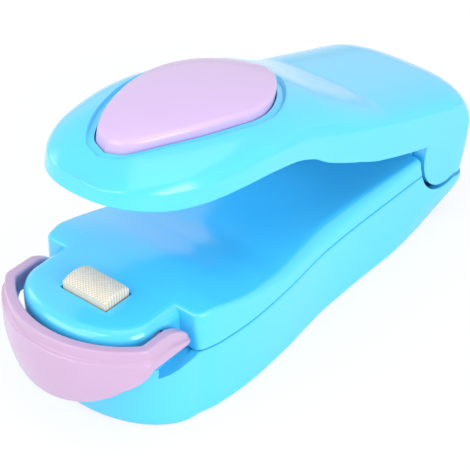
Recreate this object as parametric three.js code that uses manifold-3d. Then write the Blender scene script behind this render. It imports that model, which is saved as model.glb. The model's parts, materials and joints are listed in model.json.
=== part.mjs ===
// Mini bag sealer: a hand-held, battery-powered heat sealer for plastic bags.
// The casing lies along Y with its nose towards -Y. A sprung lever is hinged at the rear, a guard
// swings over the nose, and a sprung heater block stands in a window of the nose.
// Millimetres, +Z up. While it is built, y = 0 is the front face of the casing's shoulders.
import * as THREE from 'three';
import { mergeVertices } from 'three/addons/utils/BufferGeometryUtils.js';
import Module from 'manifold-3d';

const wasm = await Module();
wasm.setup();

// Clearances and walls that several pieces share
const fitGap = 0.3;
const runGap = 0.6;
const overrun = 1;
const wall = 2;
const thinSheet = 0.5;

// Batteries and their bay
const cellRadius = 7.1;
const cellLength = 49.2;
const nubRadius = 2.7;
const nubLength = 1.3;
const bayFrontY = 16;
const bayRib = 1.5;
const ribHeight = 8;
const contactSpring = 4;
const contactHalf = 5.2;
const contactHeight = 10;
const doorThick = 1.8;
const doorLip = 0.9;
const doorFrontGap = 1.2;
const doorGrips = [1, 2, 3, 4];
const doorRearY = 85;
const doorRaise = 0.3;
const tongueThick = 0.8;
const bayLength = contactSpring + cellLength + nubLength + 2 * (thinSheet + 2 * fitGap);
const bayRearY = bayFrontY + bayLength;

// Hinge of the lever
const hingeBehindBay = 16.3;
const hingeY = bayRearY + hingeBehindBay;
const hingeZ = 20;
const pinRadius = 1.5;
const earRadius = 9.8;
const pocketGap = 1.1;
const earHeelY = 4.9;
const earHeelZ = -5.6;
const earHeelRadius = 4.2;
const earThick = 3.2;
const earSkin = 1.2;
const barrelRadius = 4.2;
const coilBay = 4.6;
const openTilt = THREE.MathUtils.degToRad(16);
const closedTilt = THREE.MathUtils.degToRad(3.3);

// Casing: half width at stations along Y, and the rounded ends of its plan
const hingeToRear = 10;
const rearY = hingeY + hingeToRear;
const tailHalf = 19.8;
const sideStations = [[0, 21], [5, 22.3], [14, 22.9], [27, 22.1], [38, 20.7], [43, 20.2], [58, tailHalf],
  [rearY, tailHalf]];
const rearCorner = 4.5;
const rearPower = 2.2;
const keelFront = 13.6;
const bowFront = 17.5;
const sternRake = 10;
const sternRise = 8;
const taperReach = 33;
const taperY = rearY - taperReach;
const taperLength = 27;
const taperHeight = 9;
const taperDepth = 4.3;
const taperPower = 1.7;

// Casing: heights of its seam, of the middle of its deck and of the deck's side edges
const seamZ = 16.6;
const deckStations = [[0, 26], [10, 25.6], [20, 23.2], [30, 20.9], [45, 20.2], [60, 20.8], [70, 21.8],
  [78, 22.4], [rearY, 22.4]];
const edgeStations = [[0, 25.8], [8, 25], [14, 23.5], [21, 22.2], [29, 21.3], [77, 21.4], [rearY, 21.4]];
const edgeRoundStations = [[0, 0.8], [10, 1], [25, 2.2], [45, 3], [60, 2.6], [78, 1.5], [rearY, 1.2]];
const slopeY = 21;
const noseTopZ = 26;
const footRound = 1.2;
const keelDraft = 0.15;
const deckDraft = 0.3;
const deckPower = 2.6;
const deckShares = [0.8, 0.6, 0.4, 0.2];

// Nose
const noseHalf = 16.1;
const noseSide = 8;
const noseRound = 10.7;
const noseEdge = 2.8;
const noseOverlap = 4;

// Heater
const heaterY = -6.8;
const heaterHalfX = 5.9;
const heaterHalfY = 3.4;
const heaterTopZ = 28.4;
const windowGap = 0.4;
const archRise = 0.8;
const clothThick = 0.35;
const ribbonThick = 0.3;
const ribbonHalf = 1.5;
const footLength = 2.6;
const carrierFlange = 1.3;
const flangeThick = 1.2;
const carrierFootZ = 12.4;
const heaterTravel = 1.5;
const stripHalf = 1.6;

// Lever arm, measured from the hinge axis: along the arm, and up from it
const armOverhang = 9;
const armLength = hingeY - heaterY + armOverhang;
const armRear = 10.2;
const armCorner = 4;
const armCornerPower = 2.2;
const armSetback = 0.1;
const armHalf = tailHalf - armSetback;
const paddleHalf = 20.3;
const paddleReach = 32.8;
const paddlePower = 2.45;
const crownPower = 3.2;
const crownRoot = 0.62;

// The arm's half width, lower rim, crease and crown: first at places along it, then before its tip
const spanRear = [[-armRear, armHalf], [20, armHalf]];
const spanFront = [[54.8, 19.3], [paddleReach, paddleHalf]];
const rimRear = [[-armRear, 1], [11, 1.1]];
const rimFront = [[75.8, 1.8], [67.8, 3], [61.8, 4], [55.8, 5.3], [49.8, 7.3], [42.8, 8.2], [34.8, 7.9],
  [25.8, 6.6], [16.8, 4.8], [8.8, 3.5], [0, 2.9]];
const creaseRear = [[-armRear, 2.5], [-9, 3.5], [-7, 5], [-5.3, 6.9], [-3, 8.6], [0, 9.2], [11, 9.6]];
const creaseFront = [[65.8, 10.5], [54.8, 11.1], [47.8, 11.8], [42.8, 12.2], [34.8, 11.9], [25.8, 10.6],
  [16.8, 8.7], [9.8, 7.6], [0, 5.6]];
const crownRear = [[-armRear, 6.8], [-9.4, 9.4], [-8, 11.5], [-5, 13], [0, 13.6], [15, 13.6]];
const crownFront = [[78.8, 13.6], [70.8, 15], [62.8, 17], [54.8, 18.6], [46.8, 19], [paddleReach, 18],
  [16.8, 14.8], [9.8, 12.4], [4.8, 9.5], [0, 5.6]];
const crownShares = [0.95, 0.86, 0.74, 0.6, 0.44, 0.24];
const armWall = 2;
const armRoof = 2.6;
const hollowFrom = -4.2;
const webHeight = 7.6;
const rearSlotTop = 5.8;
const rearFlareShare = 0.2;
const flareTop = 6;
const flareDrop = 9;

// Thumb button on the arm: how far before the arm's tip, and its half width there
const buttonStations = [[54.5, 0], [53.8, 2.2], [52.3, 4.4], [49.8, 6.7], [45.8, 9.6], [41.8, 11.6],
  [38.3, 12.6], [34.8, 12.9], [29.8, 12.4], [24.8, 11.5], [19.8, 10], [14.8, 8], [10.8, 5.8], [8.3, 3.6], [7.1, 0]];
const buttonProud = 1.4;
const buttonCrown = 0.8;
const moatWidth = 1.7;
const moatDepth = 1;
const slabShares = [0.4, 0.7, 1];
const buttonTravel = 1.2;
const buttonFlange = 1.1;
const buttonSprings = [['button_spring_front', 22.8], ['button_spring_rear', 42.8]];

// Presser under the arm
const presserHalf = 8.4;
const presserDepth = 5;
const presserThick = 1.8;
const presserGap = 0.1;
const holderThick = 1.1;
const holderMargin = 0.6;
const stemRadius = 1.3;
const stemSpread = 3.2;
const plateThick = 1.5;
const plateTipGap = 6.8;
const plateRearMargin = 4;
const plateInset = 0.7;

// Guard round the nose: two straight arms and an arc between them. Its lower edge is given by the
// share of the arc from the middle to the corner, and its heel by the distance before its end, its
// top, its underside and how far it draws in
const guardHalf = 20.2;
const guardRadius = 25.2;
const guardCentreY = 1.8;
const guardInnerHalf = 17.1;
const guardInnerRadius = 22.2;
const guardInnerCentreY = 2;
const guardRimZ = 25;
const guardSideZ = 24.6;
const guardCreaseZ = 14.9;
const guardCreaseRise = 1.7;
const guardArmZ = 19.8;
const guardEdgeStations = [[0, 9.9], [0.2, 10.2], [0.34, 10.75], [0.46, 11.4], [0.57, 12.45], [0.69, 13.95],
  [0.78, 15.5], [0.91, 17.2], [1, 19]];
const heelStations = [[0, 21, 19.9, 0.7], [0.3, 21.5, guardArmZ, 0.35], [1, 22.3, guardArmZ, 0.1],
  [2.2, 23.2, guardArmZ, 0], [3.8, 24.1, guardArmZ, 0], [5.4, guardSideZ, guardArmZ, 0],
  [10.4, guardSideZ, guardArmZ, 0]];
const guardStep = 2.7;
const guardStepShare = 0.62;
const guardStepRise = 0.2;
const guardTuckShare = 0.24;
const guardTuckHeight = 4;
const guardRimShare = 0.27;
const guardRimTopShare = 0.36;
const guardRimInnerShare = 0.9;
const guardSoft = 0.4;
const pivotY = -6.4;
const pivotZ = 21.8;
const heelReach = 5.5;
const notchLowZ = 14.1;
const notchFloorShares = [[0, 0], [0.22, 0.16], [0.45, 0.45], [0.71, 0.8], [1, 1]];
const stubRadius = 1.5;
const stubLength = 3.2;

// Springs, pins, screws and leads
const springWire = 0.6;
const torsionHalf = 2.4;
const torsionTurns = 3;
const cellCoilTurns = 3;
const heaterCoilTurns = 4;
const screwHead = 2.6;
const screwHeadThick = 1.4;
const screwShaft = 1.2;
const screwDepth = 9;
const crossWide = 0.6;
const crossLong = 3;
const crossDeep = 0.8;
const baseScrewX = 12.2;
const baseScrewFrontY = 8.5;
const armScrewX = 9;
const armScrewBehind = 8.3;
const armScrewDepth = 4.6;
const bossWall = 1.5;
const leadRadius = 0.7;

// Counts of the facets, and how close the last ring of a rounded end comes to its tip
const ringSides = 16;
const stemSides = 12;
const boreSides = 24;
const discSides = 32;
const coilSides = 5;
const coilSteps = 8;
const bowSteps = 8;
const sideSteps = 12;
const cornerSteps = 6;
const edgeSteps = 3;
const deckSteps = 16;
const noseSteps = 9;
const noseEdgeSteps = 4;
const archSteps = 8;
const armSteps = 16;
const endSteps = 5;
const slabSteps = 16;
const guardSteps = 30;
const leadSteps = 14;
const endTrim = 0.004;
const endShare = 0.985;
const tipShare = 0.9995;
const weld = 1e-4;

const group = new THREE.Group();
const arm = new THREE.Group();

const finishes = {
  blueAbs: { color: 0x7fdcff, roughness: 0.22, metalness: 0 },
  lilacAbs: { color: 0xdcc4ec, roughness: 0.3, metalness: 0 },
  greyAbs: { color: 0xb9bec4, roughness: 0.45, metalness: 0 },
  whiteCloth: { color: 0xf1ebe0, roughness: 0.75, metalness: 0 },
  heatPlastic: { color: 0x3a3632, roughness: 0.6, metalness: 0 },
  silicone: { color: 0xe8b4b8, roughness: 0.55, metalness: 0 },
  nichrome: { color: 0x9a948c, roughness: 0.35, metalness: 1 },
  nickelSteel: { color: 0xc8c8c6, roughness: 0.25, metalness: 1 },
  brass: { color: 0xc9a24a, roughness: 0.3, metalness: 1 },
  cellFoil: { color: 0x5c6670, roughness: 0.35, metalness: 0.4 },
  redPvc: { color: 0xb3261e, roughness: 0.5, metalness: 0 },
  blackPvc: { color: 0x1c1c1e, roughness: 0.5, metalness: 0 },
};

// A closed three.js geometry as a solid that can be cut and joined
function solidOf(geometry) {
  const bare = geometry.clone();
  bare.deleteAttribute('normal');
  bare.deleteAttribute('uv');
  const merged = mergeVertices(bare, weld);
  return new wasm.Manifold(new wasm.Mesh({
    numProp: 3,
    vertProperties: new Float32Array(merged.attributes.position.array),
    triVerts: new Uint32Array(merged.index.array),
  }));
}

function place(name, solid, finish, parent = group) {
  const data = solid.getMesh();
  const geometry = new THREE.BufferGeometry();
  geometry.setAttribute('position', new THREE.BufferAttribute(new Float32Array(data.vertProperties), 3));
  geometry.setIndex(new THREE.BufferAttribute(new Uint32Array(data.triVerts), 1));
  geometry.computeVertexNormals();
  const mesh = new THREE.Mesh(geometry, new THREE.MeshStandardMaterial(finishes[finish]));
  mesh.name = name;
  parent.add(mesh);
}

// A solid through rings of equal length, with a fan of facets to the middle of each end ring
function loft(rings) {
  const count = rings[0].length;
  const last = (rings.length - 1) * count;
  const middle = (ring) => ring.reduce((sum, point) => sum.add(point), new THREE.Vector3()).divideScalar(count);
  const points = [...rings.flat(), middle(rings[0]), middle(rings[rings.length - 1])];
  const index = [];
  for (let side = 0; side < count; side += 1) {
    const next = (side + 1) % count;
    for (let ring = 0; ring + 1 < rings.length; ring += 1) {
      const a = ring * count + side;
      const b = ring * count + next;
      index.push(a, b, b + count, a, b + count, a + count);
    }
    index.push(next, side, last + count, last + side, last + next, last + count + 1);
  }
  let volume = 0;
  for (let at = 0; at < index.length; at += 3) {
    const [a, b, c] = index.slice(at, at + 3).map((corner) => points[corner]);
    volume += a.dot(b.clone().cross(c));
  }
  if (volume < 0) index.reverse();
  const geometry = new THREE.BufferGeometry().setFromPoints(points);
  geometry.setIndex(index);
  return solidOf(geometry);
}

function box(x0, x1, y0, y1, z0, z1) {
  const geometry = new THREE.BoxGeometry(x1 - x0, y1 - y0, z1 - z0);
  geometry.translate((x0 + x1) / 2, (y0 + y1) / 2, (z0 + z1) / 2);
  return solidOf(geometry);
}

// A round bar from one end along an axis: 'x', 'y' or 'z'
function bar(radius, length, axis, x, y, z, sides = ringSides) {
  const geometry = new THREE.CylinderGeometry(radius, radius, length, sides);
  if (axis === 'x') geometry.rotateZ(-Math.PI / 2);
  if (axis === 'z') geometry.rotateX(Math.PI / 2);
  const half = length / 2;
  geometry.translate(x + (axis === 'x' ? half : 0), y + (axis === 'y' ? half : 0), z + (axis === 'z' ? half : 0));
  return solidOf(geometry);
}

// A smooth curve through [place, value] stations that never swings past its stations
function profile(stations) {
  const last = stations.length - 1;
  const secant = (i) => (stations[i + 1][1] - stations[i][1]) / (stations[i + 1][0] - stations[i][0]);
  const slope = (i) => {
    if (i === 0) return secant(0);
    if (i === last) return secant(last - 1);
    const before = secant(i - 1);
    const after = secant(i);
    return before * after <= 0 ? 0 : (2 * before * after) / (before + after);
  };
  return (at) => {
    const t = THREE.MathUtils.clamp(at, stations[0][0], stations[last][0]);
    let i = 0;
    while (i < last - 1 && t > stations[i + 1][0]) i += 1;
    const span = stations[i + 1][0] - stations[i][0];
    const u = (t - stations[i][0]) / span;
    const rise = stations[i + 1][1] - stations[i][1];
    const bend = u * (1 - u) * (slope(i) * span * (1 - u) - slope(i + 1) * span * u);
    return stations[i][1] + rise * u * u * (3 - 2 * u) + bend;
  };
}

// How far a rounded end has narrowed, from 1 at its start to 0 at its tip
const roundEnd = (share, power) => (1 - Math.min(Math.abs(share), 1) ** power) ** (1 / power);

const mirrored = (points) => points.map((point) => new THREE.Vector3(-point.x, point.y, point.z)).reverse();

const steps = (from, to, count) => Array.from({ length: count + 1 }, (_, i) => from + ((to - from) * i) / count);

// Casing: its half width, seen from above
const sideHalf = profile(sideStations);
const shoulderHalf = sideHalf(0);
const bulgeHalf = Math.max(...sideStations.map((station) => station[1]));

const edgeRound = profile(edgeRoundStations);

// How far the foot of the tail draws in, at a place along it and a height
function tailTaper(y, z) {
  const along = Math.max(y - taperY, 0) / taperLength;
  return taperDepth * along ** taperPower * Math.max(1 - z / taperHeight, 0) ** 2;
}

function planRing(z, inset, front, rear) {
  const frontReach = front - inset;
  const rearReach = rearCorner - inset;
  const rearStart = rear - rearCorner;
  const quarter = Math.PI / 2;
  const side = [new THREE.Vector3(0, -frontReach, z)];
  for (const turn of steps(0, quarter, bowSteps).slice(1, -1)) {
    side.push(new THREE.Vector3((shoulderHalf - inset) * Math.sin(turn), -frontReach * Math.cos(turn), z));
  }
  for (const y of steps(0, rearStart, sideSteps)) {
    side.push(new THREE.Vector3(sideHalf(y) - inset - tailTaper(y, z), y, z));
  }
  for (const turn of steps(0, quarter, cornerSteps).slice(1, -1)) {
    const reach = Math.sin(turn);
    const y = rearStart + rearReach * reach;
    side.push(new THREE.Vector3((tailHalf - inset - tailTaper(y, z)) * roundEnd(reach, rearPower), y, z));
  }
  side.push(new THREE.Vector3(0, rearStart + rearReach, z));
  return [...side, ...mirrored(side.slice(1, -1))];
}

const bowAt = (z) => keelFront + (bowFront - keelFront) * Math.min(z / seamZ, 1);
const sternAt = (z) => rearY - sternRake * Math.max(1 - z / sternRise, 0) ** 2;

function lowerBody(inset, fromZ, toZ) {
  const rings = [];
  const curve = Math.max(footRound - inset, overrun / 2);
  for (const turn of steps(0, Math.PI / 2, edgeSteps)) {
    const rise = curve * (1 - Math.cos(turn));
    const draw = curve * (1 - Math.sin(turn));
    rings.push(planRing(fromZ + rise, inset + draw + keelDraft, bowAt(fromZ + rise), sternAt(fromZ + rise)));
  }
  const sideFrom = fromZ + curve;
  for (const z of [sideFrom + wall, sideFrom + 2 * wall, toZ]) {
    const drawn = keelDraft * (1 - (z - sideFrom) / (toZ - sideFrom));
    rings.push(planRing(z, inset + drawn, bowAt(z), sternAt(z)));
  }
  return loft(rings);
}

const deckMiddle = profile(deckStations);
const deckSide = profile(edgeStations);

function upperSection(y, inset, fromZ) {
  const rearStart = rearY - rearCorner;
  const rearShare = (y - rearStart) / (rearCorner - inset);
  const ended = rearShare > 0 ? roundEnd(rearShare, rearPower) : 1;
  const shoulder = Math.max(0, overrun - y) * (1 - inset / wall);
  const half = (sideHalf(y) - inset) * ended - shoulder * shoulder;
  const edge = Math.min(Math.max(edgeRound(y) - inset, thinSheet), half / 2);
  const sideTop = deckSide(y) - inset;
  const side = [new THREE.Vector3(half, y, fromZ)];
  for (const turn of steps(0, Math.PI / 2, edgeSteps)) {
    const x = half - deckDraft - edge * (1 - Math.cos(turn));
    side.push(new THREE.Vector3(x, y, sideTop - edge * (1 - Math.sin(turn))));
  }
  const flatHalf = half - deckDraft - edge;
  const middleTop = deckMiddle(y) - inset;
  for (const share of deckShares) {
    side.push(new THREE.Vector3(flatHalf * share, y, middleTop + (sideTop - middleTop) * share ** deckPower));
  }
  return [...side, new THREE.Vector3(0, y, middleTop), ...mirrored(side)];
}

function upperBody(inset, fromZ) {
  const rearStart = rearY - rearCorner;
  const places = [inset, inset + overrun / 2, inset + overrun, ...steps(0, rearStart, deckSteps).slice(1)];
  for (const turn of steps(0, Math.PI / 2, endSteps).slice(1)) {
    places.push(rearStart + (rearCorner - inset) * Math.sin(turn) * endShare);
  }
  return loft(places.map((y) => upperSection(y, inset, fromZ)));
}

function noseRing(z, inset) {
  const side = [];
  for (const turn of steps(0, Math.PI / 2, noseSteps).slice(1)) {
    const reach = (noseRound - inset) * Math.cos(turn);
    side.push(new THREE.Vector3((noseHalf - inset) * Math.sin(turn), -noseSide - reach, z));
  }
  side.push(new THREE.Vector3(noseHalf - inset, noseOverlap, z));
  return [new THREE.Vector3(0, -noseSide - noseRound + inset, z), ...side, ...mirrored(side)];
}

function noseBody(inset, fromZ) {
  const edge = noseEdge - inset / 2;
  const rings = [noseRing(fromZ, inset)];
  for (const turn of steps(0, Math.PI / 2, noseEdgeSteps)) {
    rings.push(noseRing(noseTopZ - inset - edge * (1 - Math.sin(turn)), inset + edge * (1 - Math.cos(turn))));
  }
  return loft(rings);
}

// Both sides of a cut or boss that is the same at +X and -X
function bothSides(solid) {
  return solid.add(solid.mirror([1, 0, 0]));
}

const earInner = armHalf - earThick;
const pocketInner = earInner - fitGap;
const pocketRadius = earRadius + pocketGap;
const bayHalf = 2 * cellRadius + fitGap;
const channelTop = doorRaise + doorThick + fitGap;
const cellZ = channelTop + fitGap + cellRadius;
const postRadius = screwHead + bossWall;
const baseScrewRearY = bayRearY + bayRib + postRadius + runGap;

// Pockets in both shells for the ears of the lever
function earPockets() {
  let outer = bar(pocketRadius, bulgeHalf, 'x', pocketInner, hingeY, hingeZ, discSides);
  for (const turn of [0, openTilt - closedTilt]) {
    const y = earHeelY * Math.cos(turn) - earHeelZ * Math.sin(turn);
    const z = earHeelY * Math.sin(turn) + earHeelZ * Math.cos(turn);
    outer = outer.add(bar(earHeelRadius + pocketGap, bulgeHalf, 'x', pocketInner, hingeY + y, hingeZ + z,
      boreSides));
  }
  const above = box(pocketInner, bulgeHalf + pocketInner, hingeY - pocketRadius, rearY + overrun,
    hingeZ, noseTopZ + wall);
  return bothSides(outer.add(above));
}

// Round posts of the shells that the screws clamp
function screwPosts(fromZ, toZ, radius) {
  let posts = null;
  for (const y of [baseScrewFrontY, baseScrewRearY]) {
    const pair = bothSides(bar(radius, toZ - fromZ, 'z', baseScrewX, y, fromZ));
    posts = posts ? posts.add(pair) : pair;
  }
  return posts;
}

const springZ = carrierFootZ - heaterTravel - contactSpring;
const stripTopZ = carrierFootZ - ribbonThick - fitGap - heaterTravel;
const stripX = heaterHalfX + footLength / 2;

function makeLowerShell() {
  let shell = lowerBody(0, 0, seamZ);
  shell = shell.subtract(lowerBody(wall, wall, seamZ + overrun));
  const ribTop = wall + ribHeight;
  const ribHalf = bayHalf + bayRib;
  const ribFrame = box(-ribHalf, ribHalf, bayFrontY - bayRib, bayRearY + bayRib, wall / 2, ribTop);
  const channelRoof = box(-ribHalf, ribHalf, bayRearY, rearY - rearCorner, wall / 2, channelTop + wall)
    .intersect(lowerBody(wall / 2, wall / 2, seamZ));
  shell = shell.add(ribFrame).add(channelRoof).add(screwPosts(wall / 2, seamZ, postRadius));
  shell = shell.add(bar(postRadius, springZ - wall / 2, 'z', 0, heaterY, wall / 2));
  shell = shell.add(bothSides(box(stripX - stripHalf, stripX + stripHalf, heaterY - 2 * stripHalf,
    heaterY + 2 * stripHalf, wall / 2, stripTopZ / 2)));
  // Bay, and the channel that lets the door slide out at the rear
  shell = shell.subtract(box(-bayHalf, bayHalf, bayFrontY, bayRearY, -overrun, ribTop + overrun));
  shell = shell.subtract(box(-bayHalf - fitGap, bayHalf + fitGap, bayFrontY - doorFrontGap, rearY + overrun,
    -overrun, channelTop));
  const grooveHalf = bayHalf + doorLip + fitGap;
  const tongueZ = doorRaise + doorThick - tongueThick;
  shell = shell.subtract(box(-grooveHalf, grooveHalf, bayFrontY - doorFrontGap, rearY + overrun,
    tongueZ - fitGap, channelTop));
  // Screw holes from below, with a counterbore for the head
  shell = shell.subtract(screwPosts(-overrun, seamZ + overrun, screwShaft + fitGap));
  shell = shell.subtract(screwPosts(-overrun, seamZ - screwDepth, screwHead + fitGap));
  // Walled notch beside the nose that the heel of the guard swings down into
  const notchFrontY = pivotY - (pivotZ - guardArmZ) - fitGap;
  const notchX = guardInnerHalf - runGap;
  const liner = box(notchX - wall, guardHalf, notchFrontY - wall, wall, notchLowZ - wall, seamZ);
  shell = shell.add(bothSides(liner.intersect(lowerBody(wall / 2, wall / 2, seamZ))));
  const floor = notchFloorShares.map(([along, up]) => new THREE.Vector2(notchFrontY * (1 - along),
    notchLowZ + (seamZ - notchLowZ) * up));
  const outline = [...floor, new THREE.Vector2(0, seamZ + overrun),
    new THREE.Vector2(notchFrontY, seamZ + overrun)];
  const notch = solidOf(drawn(outline, guardHalf, 'yz')).translate([notchX + guardHalf / 2, 0, 0]);
  shell = shell.subtract(bothSides(notch));
  return shell.subtract(earPockets());
}

function makeUpperShell() {
  const fromZ = seamZ + fitGap;
  let shell = upperBody(0, fromZ).add(noseBody(0, fromZ));
  const hollow = upperBody(wall, fromZ - overrun).add(noseBody(wall, fromZ - overrun));
  shell = shell.subtract(hollow);
  // Hinge barrel, walls inside the ear pockets and screw posts
  const barrel = bar(barrelRadius, 2 * pocketInner, 'x', -pocketInner, hingeY, hingeZ, boreSides);
  const pocketWalls = bothSides(box(pocketInner - wall, pocketInner, hingeY - pocketRadius - wall, rearY,
    fromZ, noseTopZ));
  const posts = screwPosts(fromZ, noseTopZ, screwShaft + bossWall);
  shell = shell.add(pocketWalls.add(posts).intersect(upperBody(wall / 2, fromZ)));
  shell = shell.add(barrel.intersect(box(-pocketInner, pocketInner, slopeY, rearY, fromZ, noseTopZ)));
  shell = shell.subtract(screwPosts(fromZ - overrun, fromZ + wall + thinSheet, screwShaft + fitGap));
  shell = shell.subtract(earPockets());
  // Bay for the coil in the middle of the barrel, and the bore of the pin
  const coilReach = barrelRadius + runGap;
  shell = shell.subtract(box(-coilBay, coilBay, hingeY - coilReach, hingeY + coilReach,
    fromZ - overrun, noseTopZ));
  shell = shell.subtract(bar(pinRadius + fitGap, 2 * tailHalf, 'x', -tailHalf, hingeY, hingeZ));
  // Window of the heater and the pivot holes of the guard
  const windowX = heaterHalfX + windowGap;
  const windowY = heaterHalfY + windowGap;
  shell = shell.subtract(box(-windowX, windowX, heaterY - windowY, heaterY + windowY,
    fromZ, noseTopZ + overrun));
  return shell.subtract(bar(stubRadius + fitGap, 2 * noseHalf + wall, 'x', -noseHalf - overrun,
    pivotY, pivotZ));
}

place('lower_shell', makeLowerShell(), 'blueAbs');
place('upper_shell', makeUpperShell(), 'blueAbs');

// Battery door: a plate with side tongues that runs in the channel
function makeDoor() {
  const fromY = bayFrontY - doorFrontGap + fitGap;
  const top = doorRaise + doorThick;
  let door = box(-bayHalf, bayHalf, fromY, doorRearY, doorRaise, top);
  const tongue = bayHalf + doorLip;
  door = door.add(box(-tongue, tongue, fromY, doorRearY, top - tongueThick, top));
  for (const grip of doorGrips) {
    const y = doorRearY - wall * grip;
    door = door.subtract(box(-bayHalf / 2, bayHalf / 2, y - thinSheet, y,
      doorRaise - overrun, doorRaise + thinSheet));
  }
  return door;
}
place('battery_door', makeDoor(), 'blueAbs');

// Two cells side by side, head to tail, each with a spring at its minus end
const cellX = cellRadius + fitGap / 2;
const frontFace = bayFrontY + fitGap + thinSheet + fitGap;
const rearFace = bayRearY - fitGap - thinSheet - fitGap;

function makeCell(x, tailAtFront) {
  const start = tailAtFront ? frontFace + contactSpring : frontFace + nubLength;
  const can = bar(cellRadius, cellLength - 2 * fitGap, 'y', x, start + fitGap, cellZ, boreSides);
  const nubStart = tailAtFront ? start + cellLength - fitGap - thinSheet : frontFace + fitGap;
  return can.add(bar(nubRadius, nubLength + thinSheet - fitGap, 'y', x, nubStart, cellZ));
}
place('cell_left', makeCell(-cellX, true), 'cellFoil');
place('cell_right', makeCell(cellX, false), 'cellFoil');

function contactPlate(x0, x1, y) {
  return box(x0, x1, y, y + thinSheet, channelTop + fitGap, channelTop + contactHeight);
}
place('contact_minus', contactPlate(-cellX - contactHalf, -cellX + contactHalf,
  bayFrontY + fitGap), 'nickelSteel');
place('contact_plus', contactPlate(cellX - contactHalf, cellX + contactHalf,
  bayFrontY + fitGap), 'nickelSteel');
place('contact_bridge', contactPlate(-cellX - contactHalf, cellX + contactHalf,
  bayRearY - fitGap - thinSheet), 'nickelSteel');

// A wound spring along one axis: turns of one unbroken wire
function coil(radius, wire, from, to, turns, toPoint) {
  const rings = [];
  const count = Math.round(turns * coilSteps);
  for (let i = 0; i <= count; i += 1) {
    const turn = (2 * Math.PI * i) / coilSteps;
    const along = from + wire + ((to - from - 2 * wire) * i) / count;
    const ring = [];
    for (let side = 0; side < coilSides; side += 1) {
      const around = (2 * Math.PI * side) / coilSides;
      const reach = radius + wire * Math.cos(around);
      ring.push(toPoint(reach * Math.cos(turn), reach * Math.sin(turn), along + wire * Math.sin(around)));
    }
    rings.push(ring);
  }
  return rings;
}

const wireHalf = springWire / 2;
const cellCoil = cellRadius / 2;
const coilAlongY = (x) => (a, b, along) => new THREE.Vector3(x + a, along, cellZ + b);
place('cell_spring_front', loft(coil(cellCoil, wireHalf, frontFace, frontFace + contactSpring, cellCoilTurns,
  coilAlongY(-cellX))), 'nickelSteel');
place('cell_spring_rear', loft(coil(cellCoil, wireHalf, rearFace - contactSpring, rearFace, cellCoilTurns,
  coilAlongY(cellX))), 'nickelSteel');

// An outline in the XZ or YZ plane drawn out across it
function drawn(points, length, plane) {
  const geometry = new THREE.ExtrudeGeometry(new THREE.Shape(points), { depth: length, bevelEnabled: false });
  geometry.translate(0, 0, -length / 2);
  if (plane === 'xz') geometry.rotateX(Math.PI / 2);
  if (plane === 'yz') {
    geometry.rotateX(Math.PI / 2);
    geometry.rotateZ(Math.PI / 2);
  }
  return geometry;
}

// The arched top of the heater: points from the front edge over the crest to the rear edge
function archPoints(half, crestZ) {
  return steps(-half, half, archSteps).map((y) => {
    const drop = archRise * (y / half) ** 2;
    return new THREE.Vector2(y, crestZ - drop);
  });
}

const clothInnerZ = heaterTopZ - clothThick;
const ribbonTopZ = clothInnerZ - thinSheet;
const carrierTopZ = ribbonTopZ - ribbonThick - fitGap / 2;
const carrierHalfY = heaterHalfY - clothThick - fitGap / 2;
const ribbonHalfX = heaterHalfX - clothThick;
const carrierHalfX = ribbonHalfX - ribbonThick - fitGap / 2;
const clothSkirtZ = noseTopZ - wall;

function makeCarrier() {
  const arch = archPoints(carrierHalfY, carrierTopZ);
  const outline = [new THREE.Vector2(-carrierHalfY, carrierFootZ), new THREE.Vector2(carrierHalfY, carrierFootZ),
    ...arch.reverse()];
  const block = solidOf(drawn(outline, 2 * carrierHalfX, 'yz')).translate([0, heaterY, 0]);
  const flangeTop = noseTopZ - wall - fitGap - runGap;
  const reach = heaterHalfY + runGap + carrierFlange;
  const flange = box(-carrierHalfX, carrierHalfX, heaterY - reach, heaterY + reach,
    flangeTop - flangeThick, flangeTop);
  return block.add(flange);
}
place('heater_carrier', makeCarrier(), 'heatPlastic');

// Resistance ribbon: over the carrier, down both ends and out into a foot each side
function makeRibbon() {
  const side = [
    new THREE.Vector2(ribbonHalfX, ribbonTopZ),
    new THREE.Vector2(ribbonHalfX, carrierFootZ),
    new THREE.Vector2(ribbonHalfX + footLength, carrierFootZ),
    new THREE.Vector2(ribbonHalfX + footLength, carrierFootZ - ribbonThick),
    new THREE.Vector2(ribbonHalfX - ribbonThick, carrierFootZ - ribbonThick),
    new THREE.Vector2(ribbonHalfX - ribbonThick, ribbonTopZ - ribbonThick),
  ];
  const other = side.map((point) => new THREE.Vector2(-point.x, point.y)).reverse();
  return solidOf(drawn([...side, ...other], 2 * ribbonHalf, 'xz')).translate([0, heaterY, 0]);
}
place('heater_ribbon', makeRibbon(), 'nichrome');

function makeCloth() {
  const innerHalf = heaterHalfY - clothThick;
  const outer = archPoints(heaterHalfY, heaterTopZ);
  const inner = archPoints(innerHalf, clothInnerZ).reverse();
  const outline = [
    new THREE.Vector2(-heaterHalfY, clothSkirtZ), ...outer, new THREE.Vector2(heaterHalfY, clothSkirtZ),
    new THREE.Vector2(innerHalf, clothSkirtZ), ...inner, new THREE.Vector2(-innerHalf, clothSkirtZ),
  ];
  return solidOf(drawn(outline, 2 * heaterHalfX, 'yz')).translate([0, heaterY, 0]);
}
place('heater_cloth', makeCloth(), 'whiteCloth');

const coilUpright = (x, y) => (a, b, along) => new THREE.Vector3(x + a, y + b, along);
place('heater_spring', loft(coil(carrierHalfY - thinSheet, wireHalf, springZ + fitGap, carrierFootZ - fitGap,
  heaterCoilTurns, coilUpright(0, heaterY))), 'nickelSteel');

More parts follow.
